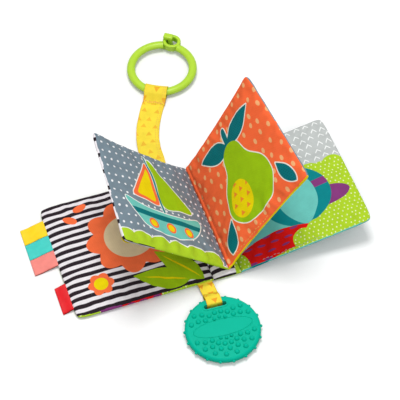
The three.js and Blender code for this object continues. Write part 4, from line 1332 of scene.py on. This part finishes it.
# The eyelet's wall, of a rounded section, swept round its oval
def eyelet_band(middle, radius):
    rows = []
    for turn in around(80):
        row = []
        for out, up, start in ((1, 1, 0), (0, 1, 90), (0, 0, 180), (1, 0, 270)):
            wall = (0 if out else EYELET_WALL) + (radius if out else -radius)
            for angle in np.radians(np.linspace(start, start + 90, 5)):
                shift = radius * math.cos(angle) - wall
                x = middle + (EYELET_HALF_WIDTH + shift) * math.cos(turn)
                y = (EYELET_HALF_LENGTH + shift) * math.sin(turn)
                z = (EYELET_HEIGHT / 2 - radius) * (1 if up else -1) + radius * math.sin(angle)
                row.append((x, y, z))
        rows.append(row)
    return swept(np.array(rows), True)


def make_link_ring():
    middle = RING_RADIUS + EYELET_OFFSET
    start = (EYELET_HALF_LENGTH - EYELET_WALL / 2) / RING_RADIUS
    turn, section = np.linspace(start, 2 * math.pi - start, 150)[:, None], around(24)
    tube = RING_RADIUS + RING_TUBE * np.cos(section)
    rows = [tube * np.cos(turn), tube * np.sin(turn), RING_TUBE_HEIGHT * np.sin(section) + 0 * turn]
    points, faces = swept(np.stack(rows, -1), False)
    piece = make_object("link_ring_moulding", by_ring(points), [face[::-1] for face in faces], [PLASTIC])
    inner = np.stack([EYELET_HALF_WIDTH * np.cos(around(64)), EYELET_HALF_LENGTH * np.sin(around(64))], -1)
    # The tube ends where the eyelet begins, on one side of the ring's gap
    clear = (inner * (1 + 0.35 / EYELET_HALF_WIDTH) + [middle, 0])[:33]
    clear[[0, -1], 1] = 0
    tall = [(0, -20), (0, 20)]
    low, tongue_top = -TONGUE_DEPTH, TONGUE_HEIGHT - TONGUE_DEPTH
    inside, rim, far = RING_RADIUS - TONGUE_INSET, EYELET_HEIGHT / 2, EYELET_HALF_LENGTH + 3.1
    blocks = (
        ((middle - 1.3, -0.7, rim + LOCK_GAP), (middle + 6.1, 10.3, rim + 5.2), 1.4),
        ((middle - 0.6, -0.2, low), (middle + 3.6, 4.4, rim + 2.0), 0.5),
        ((middle - 0.8, -0.6, low), (middle + 5.0, 8.4, tongue_top), 0.5),
        ((inside, 4.4, low), (inside + 6.0, far, tongue_top), 0.5),
        ((inside, EYELET_HALF_LENGTH + 0.5, low), (inside + 3.6, far, 0.0), 0.5),
    )
    hole = inner * ((EYELET_HALF_WIDTH - EYELET_WALL + 0.6) / EYELET_HALF_WIDTH) + [middle, 0]
    shapes = [(stacked(clear, tall), "DIFFERENCE"), (stacked(hole, tall), "DIFFERENCE")]
    shapes += [(eyelet_band(middle, 1.0), "UNION")] + [(rounded_box(*block), "UNION") for block in blocks]
    for (points, faces), operation in shapes:
        combine(piece, (by_ring(points), faces), operation)
    smooth_sides(piece, 40)
    return piece


link_ring = make_link_ring()
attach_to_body(link_ring, "link_ring")
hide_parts("link_ring")


# Sewing thread: matt, with a fine uneven twist
def thread(name, colour):
    material, tree = new_material(name)
    tinted = mixed(tree, 0.1, linear(colour), linear("#FFFFFF"))
    twist = noise(tree, object_place(tree), 900.0, 2.0)
    return finish_material(material, tinted, (0.5, 0.0002, twist), Roughness=0.7)


# Running stitches along a path: each one's length, the gap to the next and the thread's radius
def stitches(name, path, length, gap, radius, material, bodies, fold=None):
    edges = [(n, n + 1) for n in range(len(path) - 1)]
    sizes = {"Length": length, "Gap": gap, "Radius": radius}
    attach(repeated(name, STITCH_TREE, path, edges, sizes, material), bodies, fold)


def on_leaf(leaf, p, q, lift):
    t = q / (leaf["height"] / 2)
    height = RIM + (leaf["top"] + CLOTH - RIM) * crown(leaf, p, t) + relief(leaf, p, t) + lift
    return leaf_point(leaf, p, t, height)


def on_ribbon(ribbon, q, p, lift):
    grid, along, across = ribbon
    rows, columns = np.interp(q, along, np.arange(len(along))), np.interp(p, across, np.arange(len(across)))
    return between(grid, rows, columns) + [0, 0, lift]


YELLOW_THREAD, GREY_THREAD = thread("yellow_thread", "#F2B51C"), thread("grey_thread", "#8FA3A8")
ORANGE_THREAD = thread("orange_thread", "#E8961C")

share = np.linspace(0, 1, 80)
stitches(
    "right_leaf_closing_stitches",
    on_leaf(LEAVES["right_leaf"], 12 + 60 * share, -66.0 + 0.5 * np.sin(40 * share), 0.12),
    3.2, 0.9, 0.34, YELLOW_THREAD, ["right_leaf"],
)
stitches(
    "right_cover_closing_stitches",
    on_leaf(LEAVES["right_cover"], 26 + 62 * share, -69.8 + 0.4 * np.sin(35 * share), 0.1),
    3.4, 0.8, 0.3, GREY_THREAD, ["right_cover"],
)


# One line of topstitches along a ribbon, beside its edge
def topstitch(name, ribbon, q, inset, lift, bodies, fold=None):
    path = on_ribbon(ribbon, q, np.full_like(q, STRAP_WIDTH / 2 - inset), lift)
    stitches(name, path, 2.2, 0.7, 0.2, ORANGE_THREAD, bodies, fold)


TOPSTITCH_INSETS = (2.2, 4.2)
for number, inset in enumerate(TOPSTITCH_INSETS, 1):
    for ending, part, *bodies in STRAP_PARTS:
        q = np.linspace(STRAP[1][part][0] + 0.4, STRAP[1][part][-1] - 0.8, 200)
        fold = strap_fold(part, bodies[0])
        topstitch(f"{ending}_strap_topstitch_{number}", STRAP, q, inset, 0.42, bodies, fold)
q = np.linspace(5.0, 26.0, 60)
for number, inset in enumerate(TOPSTITCH_INSETS, 1):
    topstitch(f"ring_loop_topstitch_{number}", RING_LOOP, q, inset, 0.32, ["ring_loop"])
p = np.linspace(-STRAP_WIDTH / 2 + 1, STRAP_WIDTH / 2 - 1, 60)
for number, at in enumerate((1.3, 2.8)):
    path = on_ribbon(RING_LOOP, at + 0.7 * np.sin(1.3 * p + number), p, 0.36)
    stitches(f"ring_loop_cross_stitch_{number + 1}", path, 2.2, 0.4, 0.42, ORANGE_THREAD, ["ring_loop"])


# Floor and soft studio light. The floor is white where the camera sees it and darker for the light
# it throws back, so that its shadows stay neutral.
FLOOR_LIFT = 0.05
FLOOR_REACH = 4000
LIGHTS_AIM = (0, 0.03, 0.02)


def add_stage():
    material, tree = new_material("white_table")
    seen = put(tree, "ShaderNodeLightPath").node.outputs
    shown = maths(tree, "ADD", seen["Is Camera Ray"], seen["Is Glossy Ray"])
    shown = maths(tree, "ADD", shown, seen["Is Transmission Ray"])
    lift = maths(tree, "MULTIPLY", shown, FLOOR_LIFT)
    colour = mixed(tree, shown, linear("#A0A0A0"), linear("#FFFFFF"))
    white = put(tree, "ShaderNodeBsdfDiffuse", {"Color": colour})
    glow = put(tree, "ShaderNodeEmission", {"Color": (1, 1, 1, 1), "Strength": lift})
    put(tree, "ShaderNodeOutputMaterial", {"Surface": put(tree, "ShaderNodeAddShader", {0: white, 1: glow})})
    corners = [(x * FLOOR_REACH, y * FLOOR_REACH, 0) for x, y in ((-1, -1), (1, -1), (1, 1), (-1, 1))]
    make_object("floor", corners, [(0, 1, 2, 3)], [material], smooth=False)
    world = bpy.data.worlds.new("studio")
    bpy.context.scene.world = world
    world.use_nodes = True
    world.node_tree.nodes.clear()
    light = put(world.node_tree, "ShaderNodeBackground", {"Color": (1, 1, 1, 1), "Strength": 0.52})
    put(world.node_tree, "ShaderNodeOutputWorld", {"Surface": light})
    for name, place, size, power in (
        ("key_light", (0.06, 0.36, 1.75), 0.6, 15.0),
        ("fill_light", (-0.1, -1.3, 1.2), 1.4, 7.0),
    ):
        lamp = bpy.data.lights.new(name, "AREA")
        lamp.size, lamp.energy = size, power
        lamp_object = add_object(name, lamp)
        lamp_object.location = place
        lamp_object.rotation_euler = (Vector(LIGHTS_AIM) - Vector(place)).to_track_quat("-Z", "Y").to_euler()


add_stage()
bpy.context.scene.view_settings.view_transform = "Standard"
